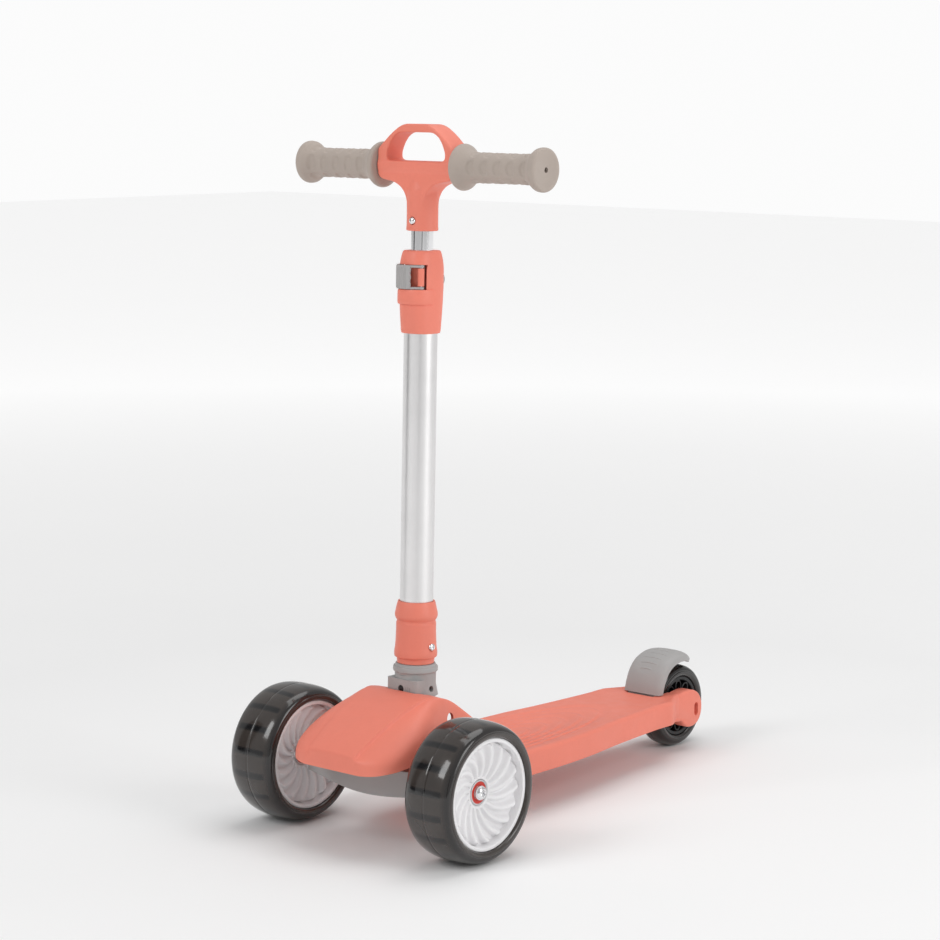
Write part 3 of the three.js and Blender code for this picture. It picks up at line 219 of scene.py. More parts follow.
def smoky_rubber(name, half_width, crown, bars, clear, dark):
    """Smoked see-through tyre rubber, glossy, with the hub's ribs dim inside it."""
    s = Shader(name)
    split = s.add("ShaderNodeSeparateXYZ", {0: s.place}).outputs
    turn = s.math("ARCTAN2", split[1], split[0])
    radius = s.math("SQRT", s.math("ADD", s.math("MULTIPLY", split[0], split[0]),
                                   s.math("MULTIPLY", split[1], split[1])))
    rib = s.math("COSINE", s.math("MULTIPLY", turn, float(bars)))
    rib = s.spread(rib, 0, 1, 0.42, 0.9)
    across = s.math("DIVIDE", s.math("ABSOLUTE", split[2]), half_width * MM)
    inside = s.spread(across, 1, 0, 0.66, 0.8)
    near_tread = s.spread(radius, 0, 1, (crown - 9) * MM, (crown - 5) * MM)
    rib = s.math("MULTIPLY", s.math("MULTIPLY", rib, inside), near_tread)
    edge = s.math("MULTIPLY", s.spread(across, 0, 0.75, 0.68, 0.9), near_tread)
    cloudy = s.noise(45.0, 3.0)
    base = s.mix(s.spread(cloudy, 0, 1), shade(clear, 0.85), shade(clear, 1.15))
    base = s.mix(s.math("MAXIMUM", rib, edge), base, (*dark, 1))
    s.into("Base Color", base)
    s.into("Roughness", s.spread(s.noise(120.0, 3.0), 0.1, 0.2))
    s.into("IOR", 1.5)
    s.into("Specular IOR Level", 0.5)
    s.into("Coat Weight", 0.35)
    s.into("Coat Roughness", 0.08)
    s.into("Normal", s.bump(s.noise(300.0, 2.0), 0.04, 0.0001))
    return s.material


CORAL = (0.86, 0.236, 0.165)
GREY = (0.395, 0.385, 0.38)
M = {
    "coral": moulded("coral_plastic", CORAL, 0.44),
    "grey": moulded("grey_plastic", GREY, 0.5, 0.4),
    "grip": moulded("grip_rubber", (0.43, 0.365, 0.32), 0.68, 0.6, sheen=0.12, scale=1500.0),
    "white": moulded("white_plastic", (0.86, 0.85, 0.86), 0.34, 0.25, coat=0.15),
    "black": moulded("black_plastic", (0.012, 0.012, 0.013), 0.34, 0.3),
    "rubber": moulded("bushing_rubber", (0.02, 0.02, 0.02), 0.7, 0.6),
    "seal": moulded("seal_rubber", (0.62, 0.035, 0.02), 0.42, 0.3),
    "satin": metal("anodised_aluminium", (0.80, 0.79, 0.79), 0.33, along=2),
    "chrome": metal("chrome_plate", (0.86, 0.86, 0.87), 0.07, bump=0.01),
    "steel": metal("zinc_plated_steel", (0.60, 0.60, 0.61), 0.27, bump=0.12),
    "smoke": smoky_rubber("smoked_tyre", 24.35, 60, 18, (0.040, 0.032, 0.028),
                          (0.004, 0.004, 0.005)),
    "rear_smoke": smoky_rubber("smoked_rear_tyre", 12.35, 40, 16, (0.018, 0.014, 0.012),
                               (0.004, 0.004, 0.004)),
}

# ------------------------------ shapes, in millimetres
ROUND = 72


def turned(profile, facets=ROUND):
    """A body turned about Z from (radius, height) points. Off the axis, it closes on itself."""
    profile = list(profile)
    hollow = profile[0][0] > 0 or profile[-1][0] > 0
    points, rings = [], []
    for radius, z in profile:
        if radius <= 0:
            rings.append([len(points)] * facets)
            points.append((0.0, 0.0, z))
        else:
            start = len(points)
            rings.append(list(range(start, start + facets)))
            points += [
                (radius * math.cos(TAU * i / facets), radius * math.sin(TAU * i / facets), z)
                for i in range(facets)
            ]
    if hollow:
        rings.append(rings[0])
    return points, skin(rings)


def skin(rings):
    faces = []
    for low, high in zip(rings, rings[1:]):
        for i in range(len(low)):
            j = (i + 1) % len(low)
            corners = list(dict.fromkeys([low[i], low[j], high[j], high[i]]))
            if len(corners) > 2:
                faces.append(corners)
    return faces


def numbered(outlines):
    """The points of a row of outlines, and each outline as the numbers of its points."""
    points = [point for ring in outlines for point in ring]
    count = len(outlines[0])
    return points, [list(range(i * count, (i + 1) * count)) for i in range(len(outlines))]


def loft(outlines):
    """Skins a row of outlines of 3-D points and closes both ends."""
    points, rings = numbered(outlines)
    return points, skin(rings) + [rings[0][::-1], rings[-1][:]]


def looped(outlines):
    """Skins a row of outlines of 3-D points and joins the last one to the first."""
    points, rings = numbered(outlines)
    return points, skin(rings + rings[:1])


def both_sides(profile):
    """A profile of (radius, height) points, then its mirror image below the middle."""
    return profile + [(radius, -z) for radius, z in reversed(profile)]


def heading(before, after):
    """The direction from one 2-D point to another, one unit long."""
    run, rise = after[0] - before[0], after[1] - before[1]
    size = math.hypot(run, rise) or 1
    return run / size, rise / size


def rod(radius, start, end, facets=48):
    return turned([(0, start), (radius, start), (radius, end), (0, end)], facets)


def soft_rod(radius, start, end, edge=0.6, facets=48):
    profile = [(0, start), (radius - edge, start), (radius - edge * 0.3, start + edge * 0.3),
               (radius, start + edge), (radius, end - edge),
               (radius - edge * 0.3, end - edge * 0.3), (radius - edge, end), (0, end)]
    return turned(profile, facets)


def soft_pipe(outer, inner, start, end, edge=0.5, facets=64):
    half = [(inner, end - edge), (inner + edge, end), (outer - edge, end), (outer, end - edge)]
    below = [(outer, start + edge), (outer - edge, start), (inner + edge, start),
             (inner, start + edge)]
    return turned(half + below, facets)


def hex_ring(across, facets, z):
    """Points of a hexagon, as many as a round ring has."""
    ring = []
    for i in range(facets):
        turn = TAU * i / facets
        reach = across / 2 / math.cos((turn % (TAU / 6)) - TAU / 12)
        ring.append((reach * math.cos(turn), reach * math.sin(turn), z))
    return ring


def button_bolt(radius, seat, tip, head, height, facets=48):
    """A button-head bolt along Z with a hexagon socket in its dome."""
    profile = [(0, tip), (radius - 0.4, tip), (radius, tip + 0.4), (radius, seat),
               (head - 0.3, seat), (head, seat + 0.3)]
    profile += [(head * wide, seat + height * up) for wide, up in (
        (1, 0.22), (0.965, 0.45), (0.88, 0.68), (0.75, 0.87), (0.62, 0.97), (0.53, 1))]
    points, faces = turned([*profile, (0, seat + height)], facets)
    faces = [f for f in faces if len(points) - 1 not in f]
    points = points[:-1]
    last = list(range(len(points) - facets, len(points)))
    rings = [last]
    for z, share in ((height - 0.15, 0.84), (height * 0.35, 0.8)):
        start = len(points)
        points += hex_ring(head * share, facets, seat + z)
        rings.append(list(range(start, start + facets)))
    rings.append([len(points)] * facets)
    points.append((0, 0, seat + height * 0.28))
    return points, faces + skin(rings)


def prism(outline, start, end, axis="z"):
    """An outline raised along an axis. It is drawn in the other two, in the order x, y, z."""
    place = {
        "x": lambda a, b, c: (c, a, b),
        "y": lambda a, b, c: (a, c, b),
        "z": lambda a, b, c: (a, b, c),
    }[axis]
    return loft([[place(a, b, c) for a, b in outline] for c in (start, end)])


def box(x, y, z):
    return prism([(x[0], y[0]), (x[1], y[0]), (x[1], y[1]), (x[0], y[1])], *z)


def trace(start, *parts, steps=12):
    """An outline from a start point, straight to (x, y) points and along Bezier tuples of them."""
    outline = [start]
    for part in parts:
        if not isinstance(part[0], tuple):
            outline.append(part)
            continue
        hold = [outline[-1], *part]
        for i in range(1, steps + 1):
            row, t = hold, i / steps
            while len(row) > 1:
                row = [
                    tuple(p * (1 - t) + q * t for p, q in zip(a, b)) for a, b in zip(row, row[1:])
                ]
            outline.append(row[0])
    return outline


def arc(centre, radius, start, end, steps=16):
    return [
        (
            centre[0] + radius * math.cos(math.radians(start + (end - start) * i / steps)),
            centre[1] + radius * math.sin(math.radians(start + (end - start) * i / steps)),
        )
        for i in range(steps + 1)
    ]


def spline(points, steps=12):
    """A smooth curve that passes through every point."""
    curve = []
    last = len(points) - 1
    for i in range(last):
        hold = [points[max(i - 1, 0)], points[i], points[i + 1], points[min(i + 2, last)]]
        for k in range(steps + (i == last - 1)):
            t = k / steps
            curve.append(tuple(
                0.5 * (2 * b + (c - a) * t + (2 * a - 5 * b + 4 * c - d) * t * t
                       + (3 * b - a - 3 * c + d) * t ** 3)
                for a, b, c, d in zip(*hold)
            ))
    return curve


def through(stations):
    """A smooth height over [at, value] stations."""
    curve = spline(stations)

    def height(at):
        if at <= curve[0][0]:
            return curve[0][1]
        for (x, v), (x2, v2) in zip(curve, curve[1:]):
            if at <= x2:
                return v + (v2 - v) * (at - x) / max(x2 - x, 1e-9)
        return curve[-1][1]

    return height


def rounded(half_x, half_y, power, count):
    def soft(v):
        return math.copysign(abs(v) ** (2 / power), v)

    return [
        (half_x * soft(math.cos(TAU * i / count)), half_y * soft(math.sin(TAU * i / count)))
        for i in range(count)
    ]


def clamp(value, low=0.0, high=1.0):
    return max(low, min(high, value))


def smooth(value):
    value = clamp(value)
    return value * value * (3 - 2 * value)


def moved(shape, matrix):
    points, faces = shape
    return [tuple(matrix @ Vector(p)) for p in points], faces


def shifted(shape, x=0, y=0, z=0):
    return moved(shape, Matrix.Translation((x, y, z)))


def along_x(shape):
    return moved(shape, Matrix.Rotation(math.pi / 2, 4, "Y"))


def along_y(shape):
    return moved(shape, Matrix.Rotation(-math.pi / 2, 4, "X"))


def facing_front(shape):
    return moved(along_y(shape), Matrix.Rotation(math.pi, 4, "Z"))


def mirrored(shape):
    points, faces = shape
    return [(-x, y, z) for x, y, z in points], [f[::-1] for f in faces]


# ------------------------------ solids and pieces


def add_object(name, data):
    obj = bpy.data.objects.new(name, data)
    bpy.context.scene.collection.objects.link(obj)
    return obj


def face_outwards(mesh, weld=0.0):
    """Turns a mesh's faces outwards, after it has joined points closer than `weld`."""
    work = bmesh.new()
    work.from_mesh(mesh)
    if weld:
        bmesh.ops.remove_doubles(work, verts=work.verts, dist=weld)
    bmesh.ops.recalc_face_normals(work, faces=work.faces)
    if work.calc_volume(signed=True) < 0:
        bmesh.ops.reverse_faces(work, faces=work.faces)
    work.to_mesh(mesh)
    work.free()


def raw(shape):
    """A temporary object from a shape, with its faces turned outwards."""
    points, faces = shape
    mesh = bpy.data.meshes.new("raw")
    mesh.from_pydata(points, [], faces)
    face_outwards(mesh)
    return add_object("raw", mesh)


def settled(obj):
    """The object's modifiers made real in a shape."""
    bpy.context.view_layer.update()
    shown = obj.evaluated_get(bpy.context.evaluated_depsgraph_get())
    mesh = shown.to_mesh()
    shape = [tuple(v.co) for v in mesh.vertices], [list(p.vertices) for p in mesh.polygons]
    shown.to_mesh_clear()
    return shape


def combine(base, *tools, operation="DIFFERENCE"):
    body, helpers = raw(base), [raw(t) for t in tools]
    for helper in helpers:
        change = body.modifiers.new("cut", "BOOLEAN")
        change.operation, change.solver, change.object = operation, "EXACT", helper
    shape = settled(body)
    for obj in (body, *helpers):
        bpy.data.objects.remove(obj)
    return shape


def cut(base, *tools):
    return combine(base, *tools)


def join(base, *tools):
    return combine(base, *tools, operation="UNION")


def common(base, tool):
    return combine(base, tool, operation="INTERSECT")


def piece(name, shape, place, body, slot, node=(), material=None, bevel=0.0, angle=34, paint=None):
    """A finished piece of the object, drawn in millimetres in its own place."""
    points, faces = shape
    mesh = bpy.data.meshes.new(name)
    mesh.from_pydata([tuple(c * MM for c in p) for p in points], [], faces)
    mesh.validate()
    face_outwards(mesh, WELD)
    obj = add_object(name, mesh)
    mesh.materials.append(material or M[slot])
    if paint:
        for other, chosen in paint:
            mesh.materials.append(other)
            index = len(mesh.materials) - 1
            for face in mesh.polygons:
                if chosen(face.center / MM):
                    face.material_index = index
    mesh.shade_smooth()
    if bevel:
        soften = obj.modifiers.new("soft_edges", "BEVEL")
        soften.width, soften.segments, soften.limit_method = bevel * MM, 3, "ANGLE"
        soften.angle_limit = math.radians(angle)
        soften.harden_normals = True
        soften.use_clamp_overlap = True
    mesh.set_sharp_from_angle(angle=math.radians(angle))
    obj.matrix_world = place
    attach(obj, body)
    if node:
        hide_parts(*([node] if isinstance(node, str) else node))
    return obj


# ------------------------------ wheels, about local Z
FRONT = {"radius": size_of("left_tyre").z / 2, "half": size_of("left_tyre").x / 2, "bore": 47.9}
REAR = {"radius": size_of("rear_tyre").z / 2, "half": size_of("rear_tyre").x / 2, "bore": 29.3}
LIP = 2.3
HUB_RIM = {"front": size_of("left_hub").z / 2, "rear": size_of("rear_hub").z / 2}


def tyre(size, shoulder, wall):
    """Flat side walls with a crisp rim, and a crowned tread with a fine parting line."""
    radius, half, bore = size["radius"], size["half"], size["bore"]
    rim = radius - shoulder
    side = [(bore, half - LIP), (bore + 0.5, half - 1.2), (bore + 1.3, half - 0.4),
            (bore + 2.4, half), (rim - 0.6, half), (rim, half - 0.15), (rim + 0.4, half - 0.6)]
    tread = []
    edge = half - 0.6
    for i in range(1, 19):
        z = edge * math.cos(i / 18 * math.pi / 2)
        rise = (1 - (z / edge) ** wall) ** (1 / 2.3)
        tread.append((rim + 0.4 + (shoulder - 0.4) * rise, z))
    tread[-1] = (radius - 0.18, 0)
    tread.insert(-1, (radius - 0.02, 0.35))
    right = side + tread
    left = [(r, -z) for r, z in reversed(right[:-1])]
    return turned(right + left, 112)


FRONT_RIBS = 17
SWIRL = math.radians(30)
DISH_FROM, DISH_WIDTH = 13, 31.6
FADE_FROM, FADE_WIDTH = 40.6, 3.4


def front_hub():
    """White hub: a shallow dish on each side with fat swirled ribs between boss and rim."""
    rim, boss = FRONT["half"] - LIP, 10.6
    outer, start, end = HUB_RIM["front"], 14.2, 43.4
    count = FRONT_RIBS * 16
    stations = [(11.3, boss - 0.4), (11.7, boss), (13.4, boss)]
    stations += [(start + (end - start) * i / 20, None) for i in range(21)]
    stations += [(43.9, 17.2), (44.1, rim - 0.6), (44.6, rim - 0.1), (45.2, rim),
                 (outer - 0.6, rim), (outer, rim - 0.6)]
    side = []
    for radius, fixed in stations:
        ring = []
        for i in range(count):
            turn = TAU * i / count
            z = fixed
            if z is None:
                share = clamp((radius - DISH_FROM) / DISH_WIDTH)
                valley = boss - 2.2 + 5.4 * smooth(share * 1.1)
                top = boss - 0.1 + (rim - boss - 1.6) * share ** 0.9
                pitch = TAU * radius / FRONT_RIBS
                phase = (turn - SWIRL * share ** 1.4) * FRONT_RIBS / TAU
                away = abs((phase + 0.5) % 1 - 0.5) * pitch
                wide = (1.25 + 1.5 * share) * 1.5
                fade = 1 - smooth((radius - FADE_FROM) / FADE_WIDTH)
                z = valley + (top * fade + valley * (1 - fade) - valley) * math.exp(
                    -((away / wide) ** 4)
                )
            ring.append((radius * math.cos(turn), radius * math.sin(turn), z))
        side.append(ring)
    back = [[(x, y, -z) for x, y, z in ring] for ring in reversed(side)]
    return looped(side + back)


REAR_LOOPS = 10


def rear_hub():
    """Black hub whose spokes end in loops round small pockets."""
    rim, boss, outer = REAR["half"] - LIP, 10.0, HUB_RIM["rear"]
    half = [(9.8, boss - 0.4), (10.2, boss), (11.6, boss), (12, boss - 0.4), (12, 2.2),
            (25.5, 2.2), (25.5, rim - 0.5), (26, rim), (outer - 0.5, rim), (outer, rim - 0.5)]
    body = turned(both_sides(half), 80)
    loops = []
    for i in range(REAR_LOOPS):
        place = Matrix.Rotation(TAU * i / REAR_LOOPS, 4, "Z") @ Matrix.Translation((18.8, 0, 0))
        ring = soft_pipe(4.9, 3.6, 1.0 - boss, boss - 1.0, 0.4, 28)
        loops.append(moved(([(x * 1.42, y, z) for x, y, z in ring[0]], ring[1]), place))
    return join(body, *loops)


for name, side, centre in (("left", 1, LEFT_WHEEL), ("right", -1, RIGHT_WHEEL)):
    place, body = wheel_place(centre, side), f"{name}_wheel"
    piece(f"{name}_tyre_moulded", tyre(FRONT, 7.6, 2.7), place, body, "smoke", f"{name}_tyre")
    piece(f"{name}_hub_moulded", front_hub(), place, body, "white", f"{name}_hub", angle=50)
    for which, at in (("outer", 7.1), ("inner", -7.1)):
        profile = [(4.2, 3.3), (4.5, 3.5), (5.9, 3.5), (6.1, 3.1), (9.3, 3.1), (9.5, 3.5),
                   (10.7, 3.5), (11, 3.2)]
        ring = turned(both_sides(profile))

        def on_seal(c, at=at):
            return 6.15 < math.hypot(c.x, c.y) < 9.3 and abs(abs(c.z - at) - 3.1) < 0.1

        piece(f"{name}_{which}_bearing_ring", shifted(ring, z=at), place, body, "bearing",
              f"{name}_{which}_bearing", M["steel"], paint=[(M["seal"], on_seal)])
    bolt = button_bolt(4, 10.9, -38, 6.3, 4.4)
    piece(f"{name}_axle_button_bolt", bolt, place, "truck", "chrome", f"{name}_axle_bolt")

rear_place = wheel_place(REAR_WHEEL, 1)
piece("rear_tyre_moulded", tyre(REAR, 6, 2.6), rear_place, "rear_wheel", "smoke", "rear_tyre",
      M["rear_smoke"])
piece("rear_hub_moulded", rear_hub(), rear_place, "rear_wheel", "black", "rear_hub")
SPACER_FROM, SPACER_TO = 10.3, 15.7
for name, at in (("left", 7), ("right", -7)):
    ring = [(3.2, 2.8), (3.5, 3), (4.7, 3), (4.9, 2.7), (7.9, 2.7), (8.1, 3), (9.2, 3), (9.5, 2.7)]
    shape = turned(both_sides(ring), 56)
    piece(f"rear_{name}_bearing_ring", shifted(shape, z=at), rear_place, "rear_wheel", "bearing",
          f"rear_{name}_bearing", M["steel"])
    low, high = sorted((at / 7 * SPACER_FROM, at / 7 * SPACER_TO))
    piece(f"rear_{name}_spacer_sleeve", soft_pipe(5, 3.3, low, high, 0.4, 40), rear_place,
          "chassis", "black", f"rear_{name}_spacer")
piece("rear_axle_pin", soft_rod(3, -25.2, 25.2, 0.5, 40), rear_place, "chassis", "steel",
      "rear_axle")

# ------------------------------ deck
DECK_TOP, DECK_BOTTOM, BOARD_FRONT = 59.3, 36.3, 38.0
WHEELBASE = (REAR_WHEEL.y - LEFT_WHEEL.y) / MM
REAR_Z = REAR_WHEEL.z / MM
SLOT_FRONT = WHEELBASE - REAR["radius"] - 13
BOARD_REAR, BOARD_STEP = SLOT_FRONT + 25, 1.9
ARM_INNER, ARM_OUTER = 16.0, 30.5
FENDER_PIVOT = Vector(JOINTS["brake_press"]["pos_m"])
FENDER_Y, FENDER_Z = (FENDER_PIVOT.y - LEFT_WHEEL.y) / MM, FENDER_PIVOT.z / MM
SCREW_X, SCREW_Y = 20, -37
HALF_WIDTH = size_of("deck").x / 2
WAIST = HALF_WIDTH - 13

board_edge = through(
    [(y, x) for x, y in (
        (HALF_WIDTH - 9, BOARD_FRONT), (HALF_WIDTH - 3, 0.2 * WHEELBASE),
        (HALF_WIDTH, 0.4 * WHEELBASE), (HALF_WIDTH - 2, 0.53 * WHEELBASE),
        (HALF_WIDTH - 8, 0.65 * WHEELBASE), (WAIST, 0.8 * WHEELBASE), (WAIST, SLOT_FRONT - 8),
        (WAIST - 1.8, SLOT_FRONT - 0.3), (WAIST - 5.8, SLOT_FRONT + 7),
        (ARM_OUTER + 3.2, SLOT_FRONT + 15), (ARM_OUTER, BOARD_REAR))]
)
RINGS = (0.0, 0.16, 0.30, 0.44, 0.585, 0.73, 0.885, 1.0)
RELIEF_AT, RELIEF_HALF, RELIEF_DEPTH = 150, 47, 1.6
RELIEF_BEHIND, RELIEF_AHEAD = 172, 62


def relief(x, y):
    """Depth of the anti-slip pattern: nested drop-shaped terraces, pointed towards the rear."""
    behind = y - RELIEF_AT
    length = RELIEF_BEHIND if behind > 0 else RELIEF_AHEAD
    blunt = 2.0 if behind > 0 else 2.4
    level = (abs(x / RELIEF_HALF) ** blunt + abs(behind / length) ** blunt) ** (1 / blunt)
    if level >= 1:
        return 0.0
    for inner, outer in zip(RINGS, RINGS[1:]):
        if level < outer:
            share = (level - inner) / (outer - inner)
            rise = RELIEF_DEPTH * (1 - share) ** 1.2
            return rise * smooth(share * 7 if inner else 1.0) if share < 0.97 else rise
    return 0.0


def board():
    """The foot board: crisp sides, rounded top edges and the pattern pressed into its top."""
    rows = []
    count = int((BOARD_REAR - BOARD_FRONT) / BOARD_STEP) + 1
    ys = [BOARD_FRONT + i * BOARD_STEP for i in range(count)]
    ys[-1] = BOARD_REAR
    edge, across = 4.2, 66
    for y in ys:
        half = board_edge(y)
        low = [(half - 1.8, DECK_BOTTOM), (half - 0.5, DECK_BOTTOM + 0.5),
               (half, DECK_BOTTOM + 1.8)]
        side = [(half, DECK_BOTTOM + 9), (half - 0.3, DECK_TOP - edge - 1)]
        corner = [
            (half - 0.3 - edge + edge * math.cos(t), DECK_TOP - edge + edge * math.sin(t))
            for t in (i / 6 * math.pi / 2 for i in range(7))
        ]
        flat = half - 0.3 - edge
        top = []
        for i in range(1, across):
            x = flat * (1 - 2 * i / across)
            rim = 0.35 * smooth((flat - abs(x)) / 5)
            top.append((x, DECK_TOP - rim - relief(x, y)))
        right = low + side + corner
        left = [(-x, z) for x, z in reversed(right)]
        rows.append([(x, y, z) for x, z in right + top + left])
    return loft(rows)


def fork_side():
    """The side view of a fork arm, in (y, z)."""
    low, wheel_front = DECK_BOTTOM, WHEELBASE - REAR["radius"]
    tip = WHEELBASE + 10.5
    return trace(
        (SLOT_FRONT - 20, low),
        ((SLOT_FRONT + 8, low - 5), (wheel_front + 7, low - 4)),
        (wheel_front + 17, low - 5),
        ((wheel_front + 24, low - 13), (WHEELBASE - 8, low - 13)),
        ((WHEELBASE + 5, low - 14), (tip, low - 5), (tip, low + 5)),
        ((tip, low + 14), (WHEELBASE + 5, DECK_TOP + 1), (WHEELBASE - 12, DECK_TOP + 1)),
        ((WHEELBASE - 22, DECK_TOP + 0.7), (wheel_front + 14, DECK_TOP),
         (wheel_front + 8, DECK_TOP - 2)),
        ((wheel_front, DECK_TOP - 5), (SLOT_FRONT - 4, DECK_TOP - 5),
         (SLOT_FRONT - 20, DECK_TOP - 5)),
        steps=14,
    )


def fork_arm():
    """One fork arm with rounded outer edges: the outline shrinks over the last millimetres."""
    outline = fork_side()
    rings = []
    for x, inset in ((ARM_INNER, 1.2), (ARM_INNER + 0.4, 0.5), (ARM_INNER + 1.2, 0),
                     (ARM_OUTER - 2.4, 0), (ARM_OUTER - 1.2, 0.35), (ARM_OUTER - 0.4, 1.1),
                     (ARM_OUTER, 2.4)):
        ring = []
        for i, (y, z) in enumerate(outline):
            run, rise = heading(outline[i - 1], outline[(i + 1) % len(outline)])
            ring.append((x, y - rise * inset, z + run * inset))
        rings.append(ring)
    return loft(rings)


def underside():
    """Pockets between the ribs that stiffen the board from below."""
    ceiling, rib, skin_side = DECK_TOP - 3.6, 1.3, 3.8
    first, usual_pitch, steps = 86, 72, 6
    count = round((SLOT_FRONT - first) / usual_pitch)
    pitch = (SLOT_FRONT - 8 - first) / count
    pockets = []
    for i in range(count):
        for side in (-1, 1):
            y0, y1 = first + i * pitch + rib, first + (i + 1) * pitch - rib
            if i == count - 1:
                y1 = SLOT_FRONT - 12
            ys = [y0 + (y1 - y0) * k / steps for k in range(steps + 1)]
            outline = [(side * rib, y0), (side * rib, y1)]
            outline += [(side * (board_edge(y) - skin_side), y) for y in reversed(ys)]
            pockets.append(prism(outline, DECK_BOTTOM - 2, ceiling))
    return pockets


def largest_island(shape):
    """The biggest connected part of a shape, without the slivers that cutting can leave."""
    points, faces = shape
    parent = list(range(len(points)))

    def root(i):
        while parent[i] != i:
            parent[i] = parent[parent[i]]
            i = parent[i]
        return i

    for face in faces:
        for corner in face[1:]:
            parent[root(corner)] = root(face[0])
    groups = {}
    for face in faces:
        groups.setdefault(root(face[0]), []).append(face)
    kept = max(groups.values(), key=len)
    used = sorted({corner for face in kept for corner in face})
    order = {corner: i for i, corner in enumerate(used)}
    return [points[i] for i in used], [[order[corner] for corner in face] for face in kept]


def on_kingpin(shape):
    return moved(shape, Matrix.Translation((0, 0, KINGPIN_HEIGHT)) @ KINGPIN_TURN)


def screw_holes(radius, start, end):
    """Room for the two screws that hold the front cover on the deck's nose."""
    return [shifted(rod(radius, start, end, 24), side * SCREW_X, SCREW_Y) for side in (-1, 1)]


def deck():
    """The whole moulding: board, nose, fork arms and the kingpin's boss, with their bores."""
    nose = prism(
        [(-42, 76), (30, 76), (37, 72), (BOARD_FRONT + 1, 42.3), (46, 42.3), (80, 51.3), (84, 57.3),
         (76, 74.3), (66, 84), (-42, 84)], -30, 30, "x")
    recess = [(WHEELBASE + 3 * math.cos(math.radians(a)),
               REAR_Z + (3.5 if a < 180 else -3.5) + 3 * math.sin(math.radians(a)))
              for a in range(0, 360, 15)]
    arms = [fork_arm(), mirrored(fork_arm())]
    boss = on_kingpin(rod(14, 13.6, 26, 40))
    body = join(board(), *arms, nose, boss)
    return cut(
        body,
        box((-ARM_INNER, ARM_INNER), (SLOT_FRONT, WHEELBASE + 20), (0, 100)),
        *underside(),
        prism(recess, ARM_OUTER - 5, ARM_OUTER + 5, "x"),
        prism(recess, -ARM_OUTER - 5, -ARM_OUTER + 5, "x"),
        shifted(along_x(rod(3.3, -26.5, 26.5, 32)), y=WHEELBASE, z=REAR_Z),
        shifted(along_x(rod(2.8, -24.5, 24.5, 24)), y=FENDER_Y, z=FENDER_Z),
        on_kingpin(rod(4.4, -20, 60, 32)),
        on_kingpin(rod(9, 26, 60, 32)),
        on_kingpin(rod(12.5, -40, 13.6, 40)),
        on_kingpin(rod(18, -40, 8.5, 40)),
        *screw_holes(2, 75, 85),
    )


piece("deck_moulded", largest_island(deck()), FLOOR, "chassis", "coral", "deck", angle=32)

# ------------------------------ front cover
COVER_HALF = size_of("front_cover").x / 2 / 0.97
COVER_FRONT, COVER_ROOF, LIP_TOP, HEM_ON_DECK = -61, 124.5, 86.5, 59.6
COVER_FILLET, CREASE_STEP = 1.6, 2.9
PIVOT_Y, PIVOT_Z = (PIVOT.y - LEFT_WHEEL.y) / MM, PIVOT.z / MM
cover_width = through([
    (-61, 0.5), (-58, 0.66), (-52, 0.8), (-40, 0.915), (-24, 0.965), (-8, 0.95), (8, 0.87),
    (24, 0.76), (40, 0.68), (56, 0.66), (80, 0.71), (100, 0.77), (116, 0.82)])
cover_roof = through([
    (-61, 0), (-50, 0.19), (-38, 0.37), (-24, 0.56), (-8, 0.755), (8, 0.91), (22, 0.99),
    (34, 0.95), (46, 0.86), (56, 0.73), (68, 0.5), (80, 0.25), (92, -0.05), (104, -0.38),
    (116, -0.62)])
cover_hem = through([
    (-61, 72), (-52, 74), (-40, 76), (-24, 78.5), (0, 79.5), (18, 79.5), (26, 78.3), (34, 72),
    (44, 63.5), (54, HEM_ON_DECK)])


def cover_arch(y, inset, lobe_steps=16):
    """Half of the arch: a flat panel to its crease, a small step, then a lobe down to the hem."""
    front = clamp(COVER_FILLET - (y - COVER_FRONT), 0, COVER_FILLET)
    fillet = COVER_FILLET - math.sqrt(COVER_FILLET ** 2 - front ** 2)
    half = COVER_HALF * cover_width(y) - inset - fillet * 0.6
    roof = LIP_TOP + (COVER_ROOF - LIP_TOP) * cover_roof(y) - inset - fillet
    hem = min(HEM_ON_DECK if y > 52 else cover_hem(y), roof - 0.8)
    crease = min(24.8 + 0.108 * (y + 60), half - 7)
    step = CREASE_STEP * clamp((40 - y) / 30)
    points = [(0, roof + 0.8), (crease * 0.3, roof + 0.74), (crease * 0.6, roof + 0.5),
              (crease * 0.85, roof + 0.16), (crease - 0.5, roof + 0.02), (crease, roof - 0.08),
              (crease + 0.25, roof - 0.08 - step * 0.2), (crease + 0.6, roof - step * 0.62),
              (crease + 0.95, roof - step * 0.86), (crease + 1.4, roof - step * 0.97)]
    for i in range(1, lobe_steps + 1):
        turn = i / lobe_steps * math.pi / 2
        out = (half - crease - 1.4) * math.sin(turn)
        up = (roof - step - hem) * math.cos(turn) ** 0.62 if i < lobe_steps else 0
        points.append((crease + 1.4 + out, hem + up))
    return points


def cover_shell(ys, inset, skirt=0.0):
    rows = []
    for y in ys:
        arch = cover_arch(y, inset)
        if skirt:
            arch.append((arch[-1][0], arch[-1][1] - skirt))
        outline = [(-x, z) for x, z in reversed(arch[1:])] + arch
        rows.append([(x, y, z) for x, z in outline])
    return loft(rows)


